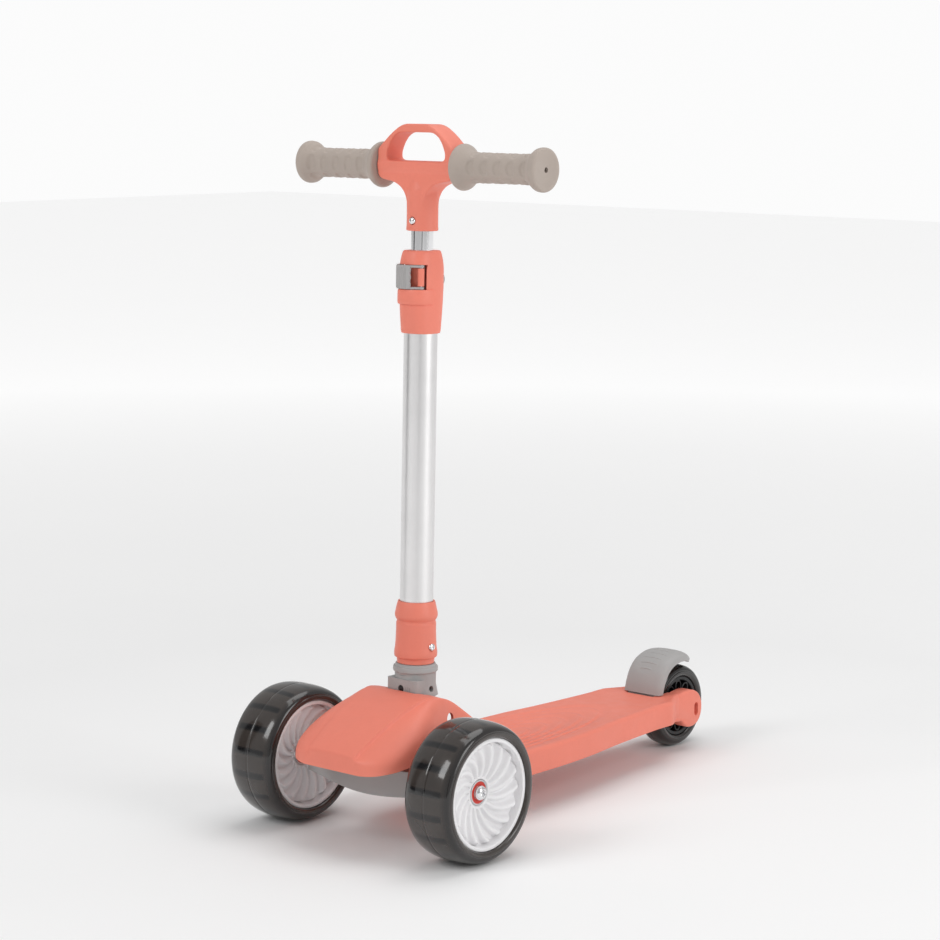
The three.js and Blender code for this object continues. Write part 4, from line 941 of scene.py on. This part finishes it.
def front_cover():
    fine = [-61, -60.7, -60.2, -59.6, -59, -58.2, -57.2, -56, -54.5, -53, -51, -49]
    ys = fine + [-47 + i * 2.35 for i in range(69)] + [115, 116]
    inner = [-57.9, -56, -53, -49, -44] + [-38 + i * 6 for i in range(23)] + [99.9]
    shell = cut(cover_shell(ys, 0), cover_shell(inner, 2.6, 12))
    bolt_hole = shifted(along_x(rod(5, -80, 80)), y=PIVOT_Y, z=PIVOT_Z)
    corner, ahead = PIVOT_Y - 17.6, PIVOT_Y - 19.6
    neck = trace((-17.4, 36), (-17.4, corner), ((-17.4, ahead), (-15.4, ahead)), (15.4, ahead),
                 ((17.4, ahead), (17.4, corner)), (17.4, 36), steps=5)
    stem = trace((-20.6, 34), (20.6, 34), (20.6, 88), ((20.6, 92), (16.6, 92)), (-16.6, 92),
                 ((-20.6, 92), (-20.6, 88)), steps=5)
    holes = screw_holes(1.9, 60, 96)
    return cut(shell, bolt_hole, prism(neck, 90, 140), prism(stem, HEM_ON_DECK + 2, 140), *holes)


piece("front_cover_moulded", front_cover(), FLOOR, "chassis", "coral", "front_cover", angle=32)

# ------------------------------ steering beam and its pivot


HALF_TRACK, WHEEL_GAP, AXLE_BORE = 100, 3.5, 4.3


def truck_beam():
    """The grey beam between the front wheels, with a stub for each and a boss on the kingpin."""
    end = HALF_TRACK - FRONT["half"] - WHEEL_GAP
    z = LEFT_WHEEL.z / MM
    face = trace(
        (-end, z - 10), ((-end * 0.7, 47.5), (-end * 0.35, 43.5), (0, 43.5)),
        ((end * 0.35, 43.5), (end * 0.7, 47.5), (end, z - 10)), (end, z + 9.5),
        ((0, z + 7), (-end, z + 9.5)), steps=16)
    plan = trace(
        (-end, -12), ((-end * 0.6, -13), (-end * 0.5, -20), (0, -20)),
        ((end * 0.5, -20), (end * 0.6, -13), (end, -12)), (end, 12),
        ((end * 0.6, 13), (end * 0.55, 32), (0, 16)),
        ((-end * 0.55, 32), (-end * 0.6, 13), (-end, 12)), steps=16)
    body = common(prism(face, -40, 40, "y"), prism(plan, 0, 100))
    stub = shifted(along_x(rod(8.5, 0, 89.1)), z=z)
    boss = on_kingpin(rod(15, -9, 5))
    bore = shifted(along_x(rod(AXLE_BORE, 60, 95, 32)), z=z)
    return cut(
        join(body, stub, mirrored(stub), boss),
        on_kingpin(rod(4.4, -60, 60, 32)),
        on_kingpin(rod(12.5, -60, -5)),
        on_kingpin(rod(16.5, 5, 60)),
        bore,
        mirrored(bore),
    )


piece("truck_beam_moulded", truck_beam(), FLOOR, "truck", "grey", "truck_beam", bevel=0.9)
for name, low in (("upper_cushion", 5.3), ("lower_cushion", -13.3)):
    piece(f"{name}_bush", soft_pipe(11, 4.3, low, low + 8, 1.2), KINGPIN, body_of(name), "rubber",
          name)
piece("kingpin_washer_disc", soft_pipe(10, 4.3, -15.1, -13.6, 0.3), KINGPIN,
      body_of("kingpin_washer"), "steel", "kingpin_washer")

# ------------------------------ folding joint and lower stem
BLACK_PIN_AT, BUTTON_AT, SCREW_AT, TUBE_R = 22.5, 23.0, 59.0, 14.4
TUBE_WALL, TUBE_TOP = 1.5, CLAMP_AT - 14


def hinge_knuckle():
    """Grey folding joint: a neck with a collar ring, a square front and a tongue for the pivot."""
    neck = turned([(0, 16), (20, 16), (19.6, 17), (19, 20), (18.2, 24), (17.9, 27), (17.9, 35.3),
                   (18.1, 36), (18.9, 36.5), (19.4, 37.2), (19.4, 40.2), (18.9, 41), (17.9, 41.4),
                   (17.5, 42), (17.3, 43.2), (16.9, 43.6), (0, 43.6)], 80)
    clipped = common(neck, box((-30, 30), (-18.9, 30), (0, 60)))
    front = trace((-16.6, 2), (-16.6, -15.4), ((-16.6, -18.9), (-13.1, -18.9)), (13.1, -18.9),
                  ((16.6, -18.9), (16.6, -15.4)), (16.6, 2), steps=8)
    tongue = [(-13, 18), (-13, 0)] + arc((0, 0), 13, 180, 360, 28)[1:] + [(13, 18)]
    relief = []
    for i, width in enumerate((1.5, 0.9, 1.2)):
        x = 4.9 + i * 2.3
        relief.append(box((x, x + width), (-19.4, -18.6), (20.6, 25.2)))
    groove = box((-6.5, 6.5), (-30, -17.25), (34.0, 35.0))
    return cut(
        join(clipped, prism(front, 16, 31.2), prism(tongue, -12, 12, "x")),
        rod(TUBE_R + 0.3, 30, 60, 64),
        along_x(rod(4.4, -30, 30)),
        shifted(along_x(rod(2.7, -30, 30, 32)), z=BLACK_PIN_AT),
        shifted(facing_front(rod(3.1, 3.5, 30, 32)), z=BUTTON_AT),
        groove,
        *relief,
    )


def lower_sleeve():
    """Coral sleeve over the foot of the tube, with a waist and a screw hole in its left side."""
    bore = TUBE_R + 0.3
    outer = spline([(bore + 1.3, 44), (bore + 1.5, 46), (bore + 1.7, 48.3), (bore + 2.5, 48.9),
                    (bore + 3.7, 49.6), (bore + 3.95, 53), (bore + 3.3, 58), (bore + 2.9, 64),
                    (bore + 2.6, 73), (bore + 2.6, 78.4), (bore + 2.2, 79.6), (bore + 2.05, 80.6),
                    (bore + 2.25, 81.6), (bore + 3.1, 82.8), (bore + 3.75, 84.8), (bore + 3.8, 87),
                    (bore + 2.9, 91.5), (bore + 2.1, 95), (bore + 1.4, 97.4), (bore + 0.8, 98)], 4)
    sleeve = turned([(bore, 44.4), (bore + 0.4, 44), *outer, (bore, 97.8)], 96)
    return cut(sleeve, shifted(along_x(rod(2.3, 0, 40, 24)), z=SCREW_AT),
               shifted(along_x(rod(3.7, TUBE_R + 3.1, 40, 32)), z=SCREW_AT))


piece("hinge_knuckle_moulded", hinge_knuckle(), STEM, "stem", "grey", "hinge_knuckle", bevel=0.5)
piece("fold_lock_cross_pin", shifted(along_x(soft_rod(2.4, -15.6, 15.6, 0.5)), z=BLACK_PIN_AT),
      STEM, body_of("fold_lock_pin"), "black", "fold_lock_pin")
button = turned([(0, 6.5), (2, 6.5), (2, 7.2), (2.8, 7.2), (2.8, 18.1), (2.5, 18.5), (1.6, 18.65),
                 (0, 18.7)], 40)
piece("fold_button_cap", shifted(facing_front(button), z=BUTTON_AT), STEM, "fold_release", "black",
      "fold_button")
piece("lower_sleeve_moulded", lower_sleeve(), STEM, "stem", "coral", "lower_sleeve")
screw = button_bolt(2, TUBE_R + 3.4, 11.4, 3.3, 2)
piece("sleeve_button_screw", shifted(along_x(screw), z=SCREW_AT), STEM,
      body_of("sleeve_screw"), "chrome", "sleeve_screw")
piece("stem_tube_drawn", soft_pipe(TUBE_R, TUBE_R - TUBE_WALL, 30.3, TUBE_TOP, 0.3, 96), STEM,
      "stem", "satin", "stem_tube")
piece("fold_pivot_button_bolt", along_x(button_bolt(4, 16.5, -21.5, 7, 4)),
      Matrix.Translation(PIVOT), "chassis", "black", "fold_pivot_bolt")

# ------------------------------ height clamp
CLAMP_X, CLAMP_Y, WINDOW = 16.0, 19.5, 10.5
PIN_X, PIN_Y, PIN_BORE = 10.4, -12.6, 1.8
REAR_BUTTON_Z = -3.0
LEVER_LEVELS, LEVER_RIBS = 26, 17


def column(stations, count=96, power=2.5):
    return loft([[(x, y, z) for x, y in rounded(CLAMP_X * wide, CLAMP_Y * deep, power, count)]
                 for z, wide, deep in stations])


def clamp_housing():
    """Coral block round the tube's top, with a band above its foot and the lever's window."""
    shell = column([(-48, 0.945, 0.79), (-47.5, 0.955, 0.81), (-45.5, 0.97, 0.84),
                    (-32, 0.98, 0.92), (-23, 0.99, 0.96), (-10, 1, 1), (6, 1, 1),
                    (10, 0.985, 0.985), (14, 0.955, 0.955), (18, 0.91, 0.91),
                    (20.4, 0.87, 0.87), (21.4, 0.845, 0.845), (22, 0.8, 0.8)])
    band = column([(-23.2, 1.03, 1.02), (-22.8, 1.06, 1.05), (-22, 1.075, 1.065),
                   (-20, 1.08, 1.075), (-13, 1.075, 1.07), (-11.4, 1.06, 1.06),
                   (-10.6, 1.04, 1.04)])
    band = common(band, box((-30, 30), (-30, -3.6), (-60, 60)))
    window = trace((-40, -3.6), (-40, -40), (PIN_X + 2.6, -40), (PIN_X + 4.2, -40),
                   (PIN_X + 4.2, -3.6))
    return cut(
        join(shell, band),
        rod(TUBE_R + 0.3, -60, -11.1, 64),
        rod(13.4, -12, WINDOW + 0.6, 64),
        rod(9.9, 0, 40, 64),
        prism(window, -WINDOW, WINDOW),
        shifted(rod(PIN_BORE, -14.2, 14.2, 24), PIN_X, PIN_Y),
        shifted(along_y(rod(7.3, 12, 40, 48)), z=REAR_BUTTON_Z),
    )


def clamp_band():
    """The split ring that the lever pulls shut, with a lug for the lever's pin."""
    reach = WINDOW - 0.5
    ring = turned([(9.85, -reach), (13.1, -reach), (13.1, reach), (9.85, reach)], 72)
    away = math.hypot(PIN_X, PIN_Y)
    web = box((12.1, away), (-2.6, 0.4), (2.5 - reach, reach - 2.5))
    barrel = shifted(rod(3, 2.5 - reach, reach - 2.5, 40), away)
    turn = Matrix.Rotation(math.atan2(PIN_Y, PIN_X), 4, "Z")
    lug = moved(join(web, barrel), turn)
    split = moved(box((0, 18.1), (0.8, 2.6), (-reach - 1, reach + 1)),
                  turn @ Matrix.Rotation(math.radians(6), 4, "Z"))
    return cut(
        cut(join(ring, lug), split),
        shifted(rod(PIN_BORE, -20, 20, 32), PIN_X, PIN_Y),
        rod(9.85, -20, 20, 72),
        shifted(along_y(rod(2.8, 5, 30, 24)), z=REAR_BUTTON_Z),
    )


def clamp_lever():
    """Quick-release lever wrapped round the front: fine upright ribs and a wavy inner edge."""
    reach = WINDOW - 0.4
    outside = spline([(5, -21), (0, -22.6), (-10, -20.6), (-17.4, -12), (-18.6, -4.6)], 26)
    inside = spline([(-15.7, -4.6), (-14.7, -11), (-8.7, -17.6), (0, -19.5), (4, -18.6)], 26)
    rings = []
    for k in range(LEVER_LEVELS + 1):
        z = -reach + 2 * reach * k / LEVER_LEVELS
        ring = []
        lip = 0.7 * (1 - min(1.0, (reach - abs(z)) / 1.0))
        for i, (x, y) in enumerate(outside):
            share = i / (len(outside) - 1)
            wave = 0.22 * math.cos(share * TAU * LEVER_RIBS) * smooth((share - 0.12) * 10)
            wave *= smooth((0.97 - share) * 12)
            size = math.hypot(x, y)
            sink = (wave - 0.22 - lip) / size
            ring.append((x * (1 + sink), y * (1 + sink), z))
        ring += [(x, y, z) for x, y in inside]
        bulge = 0.55 * math.cos(z / reach * TAU * 1.5)
        for i in (0, 1, len(outside) + len(inside) - 1, len(outside) + len(inside) - 2):
            x, y, _ = ring[i]
            ring[i] = (x + bulge, y - bulge * 0.4, z)
        rings.append(ring)
    paddle = loft(rings)
    hole = shifted(rod(PIN_BORE, -20, 20, 32), PIN_X, PIN_Y)
    eyes = []
    for low in (-reach, reach - 1.9):
        ring = shifted(rod(2.6, low, low + 1.9, 32), PIN_X, PIN_Y)
        arm = prism([(3.6, -21), (PIN_X + 2.1, PIN_Y - 1.6), (PIN_X - 2.1, PIN_Y + 1.6),
                     (3, -18.6)], low, low + 1.9)
        eyes += [ring, arm]
    return cut(join(paddle, *eyes), hole)


def domed_button(radius, pin, pin_end, inner, rim, dome, facets=56):
    """A round button along Z: a pin up to the height `inner`, then a cap with a domed face."""
    cap = [(radius * math.cos(t), rim + (dome - rim) * math.sin(t))
           for t in (i / 8 * math.pi / 2 for i in range(8))]
    return turned([(0, pin_end), (pin, pin_end), (pin, inner), (radius, inner), *cap, (0, dome)],
                  facets)


piece("clamp_housing_moulded", clamp_housing(), CLAMP, "stem", "coral", "clamp_housing", bevel=0.45)
piece("clamp_band_moulded", clamp_band(), CLAMP, body_of("clamp_band"), "coral", "clamp_band",
      bevel=0.3)
piece("clamp_lever_moulded", clamp_lever(), CLAMP, "height_lever", "grey", "clamp_lever", angle=30)
piece("lever_cross_pin", shifted(soft_rod(1.5, -13.9, 13.9, 0.3, 32), PIN_X, PIN_Y), CLAMP,
      body_of("lever_pin"), "steel", "lever_pin")
piece("height_button_dome",
      shifted(along_y(domed_button(7, 2.2, 12, 15.6, 22, 24.5)), z=REAR_BUTTON_Z), CLAMP,
      "height_release", "grey", "height_button")
piece("inner_tube_drawn", soft_pipe(9.5, 8.3, 125, BAR_AT - 11.8, 0.3, 96), STEM, "steerer_top",
      "chrome", "inner_tube")

# ------------------------------ handlebar
T_HALF, LOOP_TOP, BUTTON_Z, NECK = 42.0, 35.0, -46.0, 13.4
GRIP_END = size_of("left_grip").x + T_HALF + 0.3


def handlebar_body():
    """The coral T: a carrying loop over the bar, flowing down into the stem socket."""
    right = trace(
        (0, LOOP_TOP), (10, LOOP_TOP), ((19, LOOP_TOP), (31, 24.5), (T_HALF, 13.5)), (T_HALF, -6),
        ((T_HALF, -11), (36, -12.5), (30, -13)), ((18, -14.5), (11, -21), (9.2, -30)),
        (7.6, -42), steps=14)
    outline = right + [(-x, z) for x, z in reversed(right[1:])]
    half = trace(
        (0, LOOP_TOP - 7), (14, LOOP_TOP - 7), ((24, LOOP_TOP - 7), (29, 20), (32, 11)),
        ((33, 6), (31, 4), (27, 4)), (0, 4), steps=14)
    hole = half + [(-x, z) for x, z in reversed(half[1:-1])]
    loop = prism(outline, -11, 11, "y")
    stem = turned([(0, -54.6), (NECK, -54.6), (NECK + 0.5, -54.1), (NECK + 0.4, -53),
                   (NECK, -51), (NECK, -20), (11, -12), (0, -12)], 72)
    barrel = along_x(turned([(0, -T_HALF), (11.7, -T_HALF), (12.7, 2 - T_HALF), (12.7, T_HALF - 2),
                             (11.7, T_HALF), (0, T_HALF)], 72))
    lower = common(barrel, box((-60, 60), (-30, 30), (-30, 3.9)))
    body = cut(join(loop, stem, lower), prism(hole, -30, 30, "y"))
    work = raw(body)
    remesh = work.modifiers.new("remesh", "REMESH")
    remesh.mode, remesh.voxel_size, remesh.adaptivity = "VOXEL", 0.85, 0.0
    soften = work.modifiers.new("soften", "SMOOTH")
    soften.factor, soften.iterations = 0.5, 9
    body = settled(work)
    bpy.data.objects.remove(work)
    socket = along_x(rod(9.8, 34.5, 60, 48))
    return cut(body, socket, mirrored(socket), rod(9.8, -60, -11.4, 64),
               box((-30, 30), (-30, 30), (-60, -54.7)),
               shifted(facing_front(rod(3.5, 0, 30, 40)), z=BUTTON_Z))


START = T_HALF + 0.3
grip_profile = through([
    (START, 17.2), (START + 0.3, 18.1), (START + 1.1, 19.1), (START + 2.3, 19.5),
    (START + 4.1, 19.35), (START + 6, 18.3), (START + 9.5, 15.5), (START + 15, 13.1),
    (66, 12.75), (92, 12.6), (115, 12.8), (120.5, 14.5), (125, 17.5), (127.3, 18.2),
    (129.5, 18.3), (131, 17.9), (131.8, 17.0)])
DIMPLES, DIMPLE_ROWS, DIMPLE_START, DIMPLE_PITCH = 5, 5, 55.0, 14.0
GRIP_RADIUS = 12.7


def dimple(x, turn):
    """D-shaped finger dimples pressed into the grip, five in a row and five rows round."""
    index = math.floor((x - DIMPLE_START) / DIMPLE_PITCH)
    if not 0 <= index < DIMPLES:
        return 0.0
    u = x - DIMPLE_START - (index + 0.5) * DIMPLE_PITCH
    v = (((turn / TAU * DIMPLE_ROWS) % 1) - 0.5) * TAU / DIMPLE_ROWS * GRIP_RADIUS
    u += 0.9 * (1 - min(1.0, abs(v) / 6) ** 2)
    reach = (abs(u / 3.7) ** 3 + abs(v / 6.3) ** 3) ** (1 / 3)
    raised_edge = 0.15 * math.exp(-(((reach - 1.2) / 0.16) ** 2))
    return 1.05 * (1 - smooth((reach - 0.78) / 0.34)) - raised_edge


def grip():
    """The left grip: a flange against the T, the dimpled hold and a flared end with a hole."""
    facets, rows = 144, []
    xs = [START + step for step in (0, 0.15, 0.3, 0.7, 1.1, 1.7, 2.3, 3.2, 4.1, 5.1)]
    xs += [START + 6 + i * 0.7 for i in range(114)] + [128.6, 129.5, 130.3, 131, 131.5, 131.8]
    for x in xs:
        ring = []
        for i in range(facets):
            turn = TAU * i / facets
            radius = grip_profile(x) - dimple(x, turn)
            ring.append((x, radius * math.cos(turn), radius * math.sin(turn)))
        rows.append(ring)

    def plain(x, radius):
        rows.append([(x, radius * math.cos(TAU * i / facets), radius * math.sin(TAU * i / facets))
                     for i in range(facets)])

    for x, radius in ((132, 16.4), (132, 13.5), (131.8, 13.2), (131.8, 3.0), (131.5, 2.3),
                      (127, 2.2), (127, 9.8), (START, 9.8)):
        plain(x, radius)
    return looped(rows)


piece("handlebar_body_moulded", handlebar_body(), BAR, "steerer_top", "coral", "handlebar_body",
      angle=40)
piece("left_grip_moulded", grip(), BAR, "steerer_top", "grip", "left_grip", angle=50)
piece("right_grip_moulded", mirrored(grip()), BAR, "steerer_top", "grip", "right_grip", angle=50)
button = domed_button(3.1, 2.4, 6.9, 7.6, NECK - 0.4, NECK + 1.8, 40)
piece("stem_button_dome", shifted(facing_front(button), z=BUTTON_Z), BAR, "handlebar_release",
      "chrome", "stem_button")

# ------------------------------ rear fender brake
FENDER_HALF, FENDER_WALL, FENDER_DROP = size_of("brake_fender").x / 2, 3.0, 9.0
SPAN = 7  # steps of the fender's line between two of its stations
fender_line = spline([(-52.5, 20.5), (-49.5, 31), (-43.3, 42.5), (-33, 51.5), (-18, 56.3),
                      (-3, 55.8), (9, 50.5), (16.5, 46), (21, 42.6)], SPAN)
fender_share = through([(0, 1), (4.6, 1), (5.3, 0.93), (6, 0.78), (7, 0.5), (7.7, 0.28), (8, 0.18)])


def fender_shell(inset):
    """The fender's crowned skin along its line. With an inset, the space that hollows it out."""
    rows = []
    for i, (y, z) in enumerate(fender_line):
        share = fender_share(i / SPAN)
        run, rise = heading(fender_line[max(i - 1, 0)],
                            fender_line[min(i + 1, len(fender_line) - 1)])
        half, deep = FENDER_HALF * share - inset, 0.2 + 0.8 * share
        drop = FENDER_DROP + (8 if inset else 0)
        arch = [(0, 0), (0.2 * half, -0.06), (0.4 * half, -0.28), (0.58 * half, -0.68),
                (0.74 * half, -1.35), (0.86 * half, -2.3), (0.94 * half, -3.5),
                (0.985 * half, -4.9), (half, -6.4), (half, -drop)]
        row = []
        for x, low in [(-x, low) for x, low in reversed(arch[1:])] + arch:
            ridge = 0.0 if inset else pad_relief(x, i / SPAN)
            lift = low * deep - inset - ridge
            row.append((x, WHEELBASE + y - rise * lift, REAR_Z + z + run * lift))
        rows.append(row)
    return loft(rows)


PAD_AT, PAD_HALF, PAD_REACH = 3.4, 13.5, 1.75


def pad_relief(x, along):
    """How deep the oval foot pad is pressed in; the cross ribs stand in it."""
    level = (x / PAD_HALF) ** 2 + ((along - PAD_AT) / PAD_REACH) ** 2
    return 0.45 * (1 - smooth((level - 0.86) / 0.2))


def fender_ribs():
    """Low cross ribs that lie on the pad and follow its crown."""
    ribs, section = [], ((-1.15, -1.4), (-1.0, -0.35), (-0.45, 0.1), (0.45, 0.1), (1.0, -0.35),
                         (1.15, -1.4))
    for k in range(6):
        along = 2.1 + k * 0.52
        reach = 11.6 * math.sqrt(max(0.05, 1 - ((along - PAD_AT) / 1.62) ** 2))
        at = along * SPAN
        i = min(int(at), len(fender_line) - 2)
        (y, z), (y2, z2) = fender_line[i], fender_line[i + 1]
        t = at - i
        y, z = y + (y2 - y) * t, z + (z2 - z) * t
        run, rise = heading(fender_line[i], fender_line[i + 1])
        rows = []
        for j in range(15):
            share = j / 7 - 1
            x = reach * share
            crown = -1.35 * (abs(x) / 16) ** 2.2
            bow = -0.9 * share * share
            tall = 0.5 * (1 - share ** 8)
            row = []
            for step, lift in section:
                lift = crown + (lift if lift < -1 else lift * tall * 2 - 0.12)
                onward = step * (1 - 0.5 * share ** 8) + bow
                row.append((x, WHEELBASE + y + run * onward - rise * lift,
                            REAR_Z + z + rise * onward + run * lift))
            rows.append(row)
        ribs.append(loft(rows))
    return ribs


def brake_fender():
    """The foot brake: shell, braking pad over the tyre, hinge arm, and ribs on the foot pad."""
    tyre_space = shifted(along_x(rod(REAR["radius"] + 2.9, -30, 30, 72)), y=WHEELBASE, z=REAR_Z)
    pad = box((-9, 9), (WHEELBASE - 16, WHEELBASE + 6), (REAR_Z + 40, 120))
    outer = fender_shell(0)
    shell = cut(outer, fender_shell(FENDER_WALL))
    above = box((-40, 40), (300, 600), (DECK_TOP + 0.6, 200))
    half = ARM_INNER - 0.4
    side = [(FENDER_Y + 5, FENDER_Z), (FENDER_Y + 3.5, DECK_TOP + 8),
            (FENDER_Y - 1.6, DECK_TOP + 8), (FENDER_Y - 5, FENDER_Z)]
    side += arc((FENDER_Y, FENDER_Z), 5, 180, 360, 14)[1:-1]
    arm = prism(side, -half, half, "x")
    coil = box((-5, 5), (FENDER_Y - 8, FENDER_Y + 8), (0, FENDER_Z + 6))
    pin = shifted(along_x(rod(2.9, -40, 40, 32)), y=FENDER_Y, z=FENDER_Z)
    body = join(common(shell, above), cut(common(outer, pad), tyre_space), arm, *fender_ribs())
    return cut(body, coil, pin)


piece("brake_fender_moulded", brake_fender(), FLOOR, "brake", "grey", "brake_fender", angle=30)

# ------------------------------ pieces kept as the frame has them
KEPT = {
    "left_cover_screw": "steel", "right_cover_screw": "steel", "kingpin_bolt": "steel",
    "kingpin_nut": "steel", "fender_pin": "steel", "fender_spring": "steel", "fold_bracket": "grey",
    "fold_pivot_nut": "steel", "guide_bush": "black", "height_snap_pin": "steel",
    "height_snap_leaf": "steel", "left_bar_tube": "satin", "right_bar_tube": "satin",
}
for name, finish in KEPT.items():
    node = frame["nodes"][name]
    node.data.materials.clear()
    node.data.materials.append(M[finish])

# ------------------------------ floor, light and camera
floor_mesh = bpy.data.meshes.new("floor")
floor_mesh.from_pydata([(-9, -9, 0), (9, -9, 0), (9, 9, 0), (-9, 9, 0)], [], [(0, 1, 2, 3)])
floor = add_object("floor", floor_mesh)
paint = Shader("pale_floor_painted_glow")
paint.into("Base Color", paint.mix(paint.noise(3.0), (0.93, 0.93, 0.93, 1), (0.95, 0.95, 0.95, 1)))
paint.into("Roughness", 0.7)
paint.into("Specular IOR Level", 0.1)
# Painted light: the floor glows more the further it lies from the scooter, so it fades to white
# where the lamps fall off.
away = paint.add("ShaderNodeVectorMath", {0: paint.place}, operation="LENGTH").outputs["Value"]
paint.into("Emission Color", (1, 1, 1, 1))
paint.into("Emission Strength", paint.spread(away, 0, 0.42, 0.7, 3.2))
floor_mesh.materials.append(paint.material)

world = bpy.data.worlds.new("studio")
bpy.context.scene.world = world
world.use_nodes = True
sky = world.node_tree.nodes["Background"]
sky.inputs["Color"].default_value = (1, 1, 1, 1)
seen = world.node_tree.nodes.new("ShaderNodeLightPath")
level = world.node_tree.nodes.new("ShaderNodeMapRange")
level.inputs["To Min"].default_value, level.inputs["To Max"].default_value = 0.52, 0.97
world.node_tree.links.new(seen.outputs["Is Camera Ray"], level.inputs["Value"])
world.node_tree.links.new(level.outputs["Result"], sky.inputs["Strength"])


def soft_box(name, at, aim, size, power):
    data = bpy.data.lights.new(name, "AREA")
    data.shape, data.size, data.size_y, data.energy = "RECTANGLE", size[0], size[1], power
    lamp = add_object(name, data)
    lamp.location = at
    lamp.rotation_mode = "QUATERNION"
    lamp.rotation_quaternion = (Vector(aim) - Vector(at)).to_track_quat("-Z", "Y")


soft_box("key_light", (-0.6, -2.3, 1.9), (0, 0, 0.25), (0.9, 1.3), 19)
soft_box("fill_light", (2.5, 0.3, 1.3), (0, 0, 0.25), (1.2, 1.8), 22)
# Dark cards that the chrome and the tube reflect as stripes.
for name, at, width in (("left_card", (-1.5, -1.4, 0.7), 0.5),
                        ("camera_card", (1.8, -2.3, 0.7), 0.3)):
    card_mesh = bpy.data.meshes.new(name)
    half, tall = width / 2, 0.8
    card_mesh.from_pydata([(-half, 0, -tall), (half, 0, -tall), (half, 0, tall), (-half, 0, tall)],
                          [], [(0, 1, 2, 3)])
    card = add_object(name, card_mesh)
    card.location, card.rotation_euler.z = at, math.atan2(at[0], -at[1])
    card_mesh.materials.append(M["black"])
soft_box("top_light", (0.1, 0.5, 2.4), (0, 0, 0.2), (1.6, 1.6), 15)

# The camera as fitted to the photograph: its place, its angles and its focal length in pixels.
CAMERA_AT, FOCAL_PIXELS, PHOTO_PIXELS, SENSOR = (1.4529, -1.8410, 0.6465), 2626.7, 940, 36.0
camera_data = bpy.data.cameras.new("camera")
camera = add_object("camera", camera_data)
yaw, pitch, roll = math.radians(39.63), math.radians(8.49), math.radians(0.45)
ahead = Vector((-math.sin(yaw) * math.cos(pitch), math.cos(yaw) * math.cos(pitch),
                -math.sin(pitch)))
right = Vector((math.cos(yaw), math.sin(yaw), 0))
up = right.cross(ahead)
side_axis = math.cos(roll) * right + math.sin(roll) * up
up_axis = -math.sin(roll) * right + math.cos(roll) * up
turn = Matrix((side_axis, up_axis, -ahead)).transposed().to_4x4()
camera.matrix_world = Matrix.Translation(CAMERA_AT) @ turn
camera_data.sensor_width, camera_data.lens = SENSOR, SENSOR * FOCAL_PIXELS / PHOTO_PIXELS
bpy.context.scene.camera = camera
bpy.context.scene.view_settings.view_transform = "Standard"
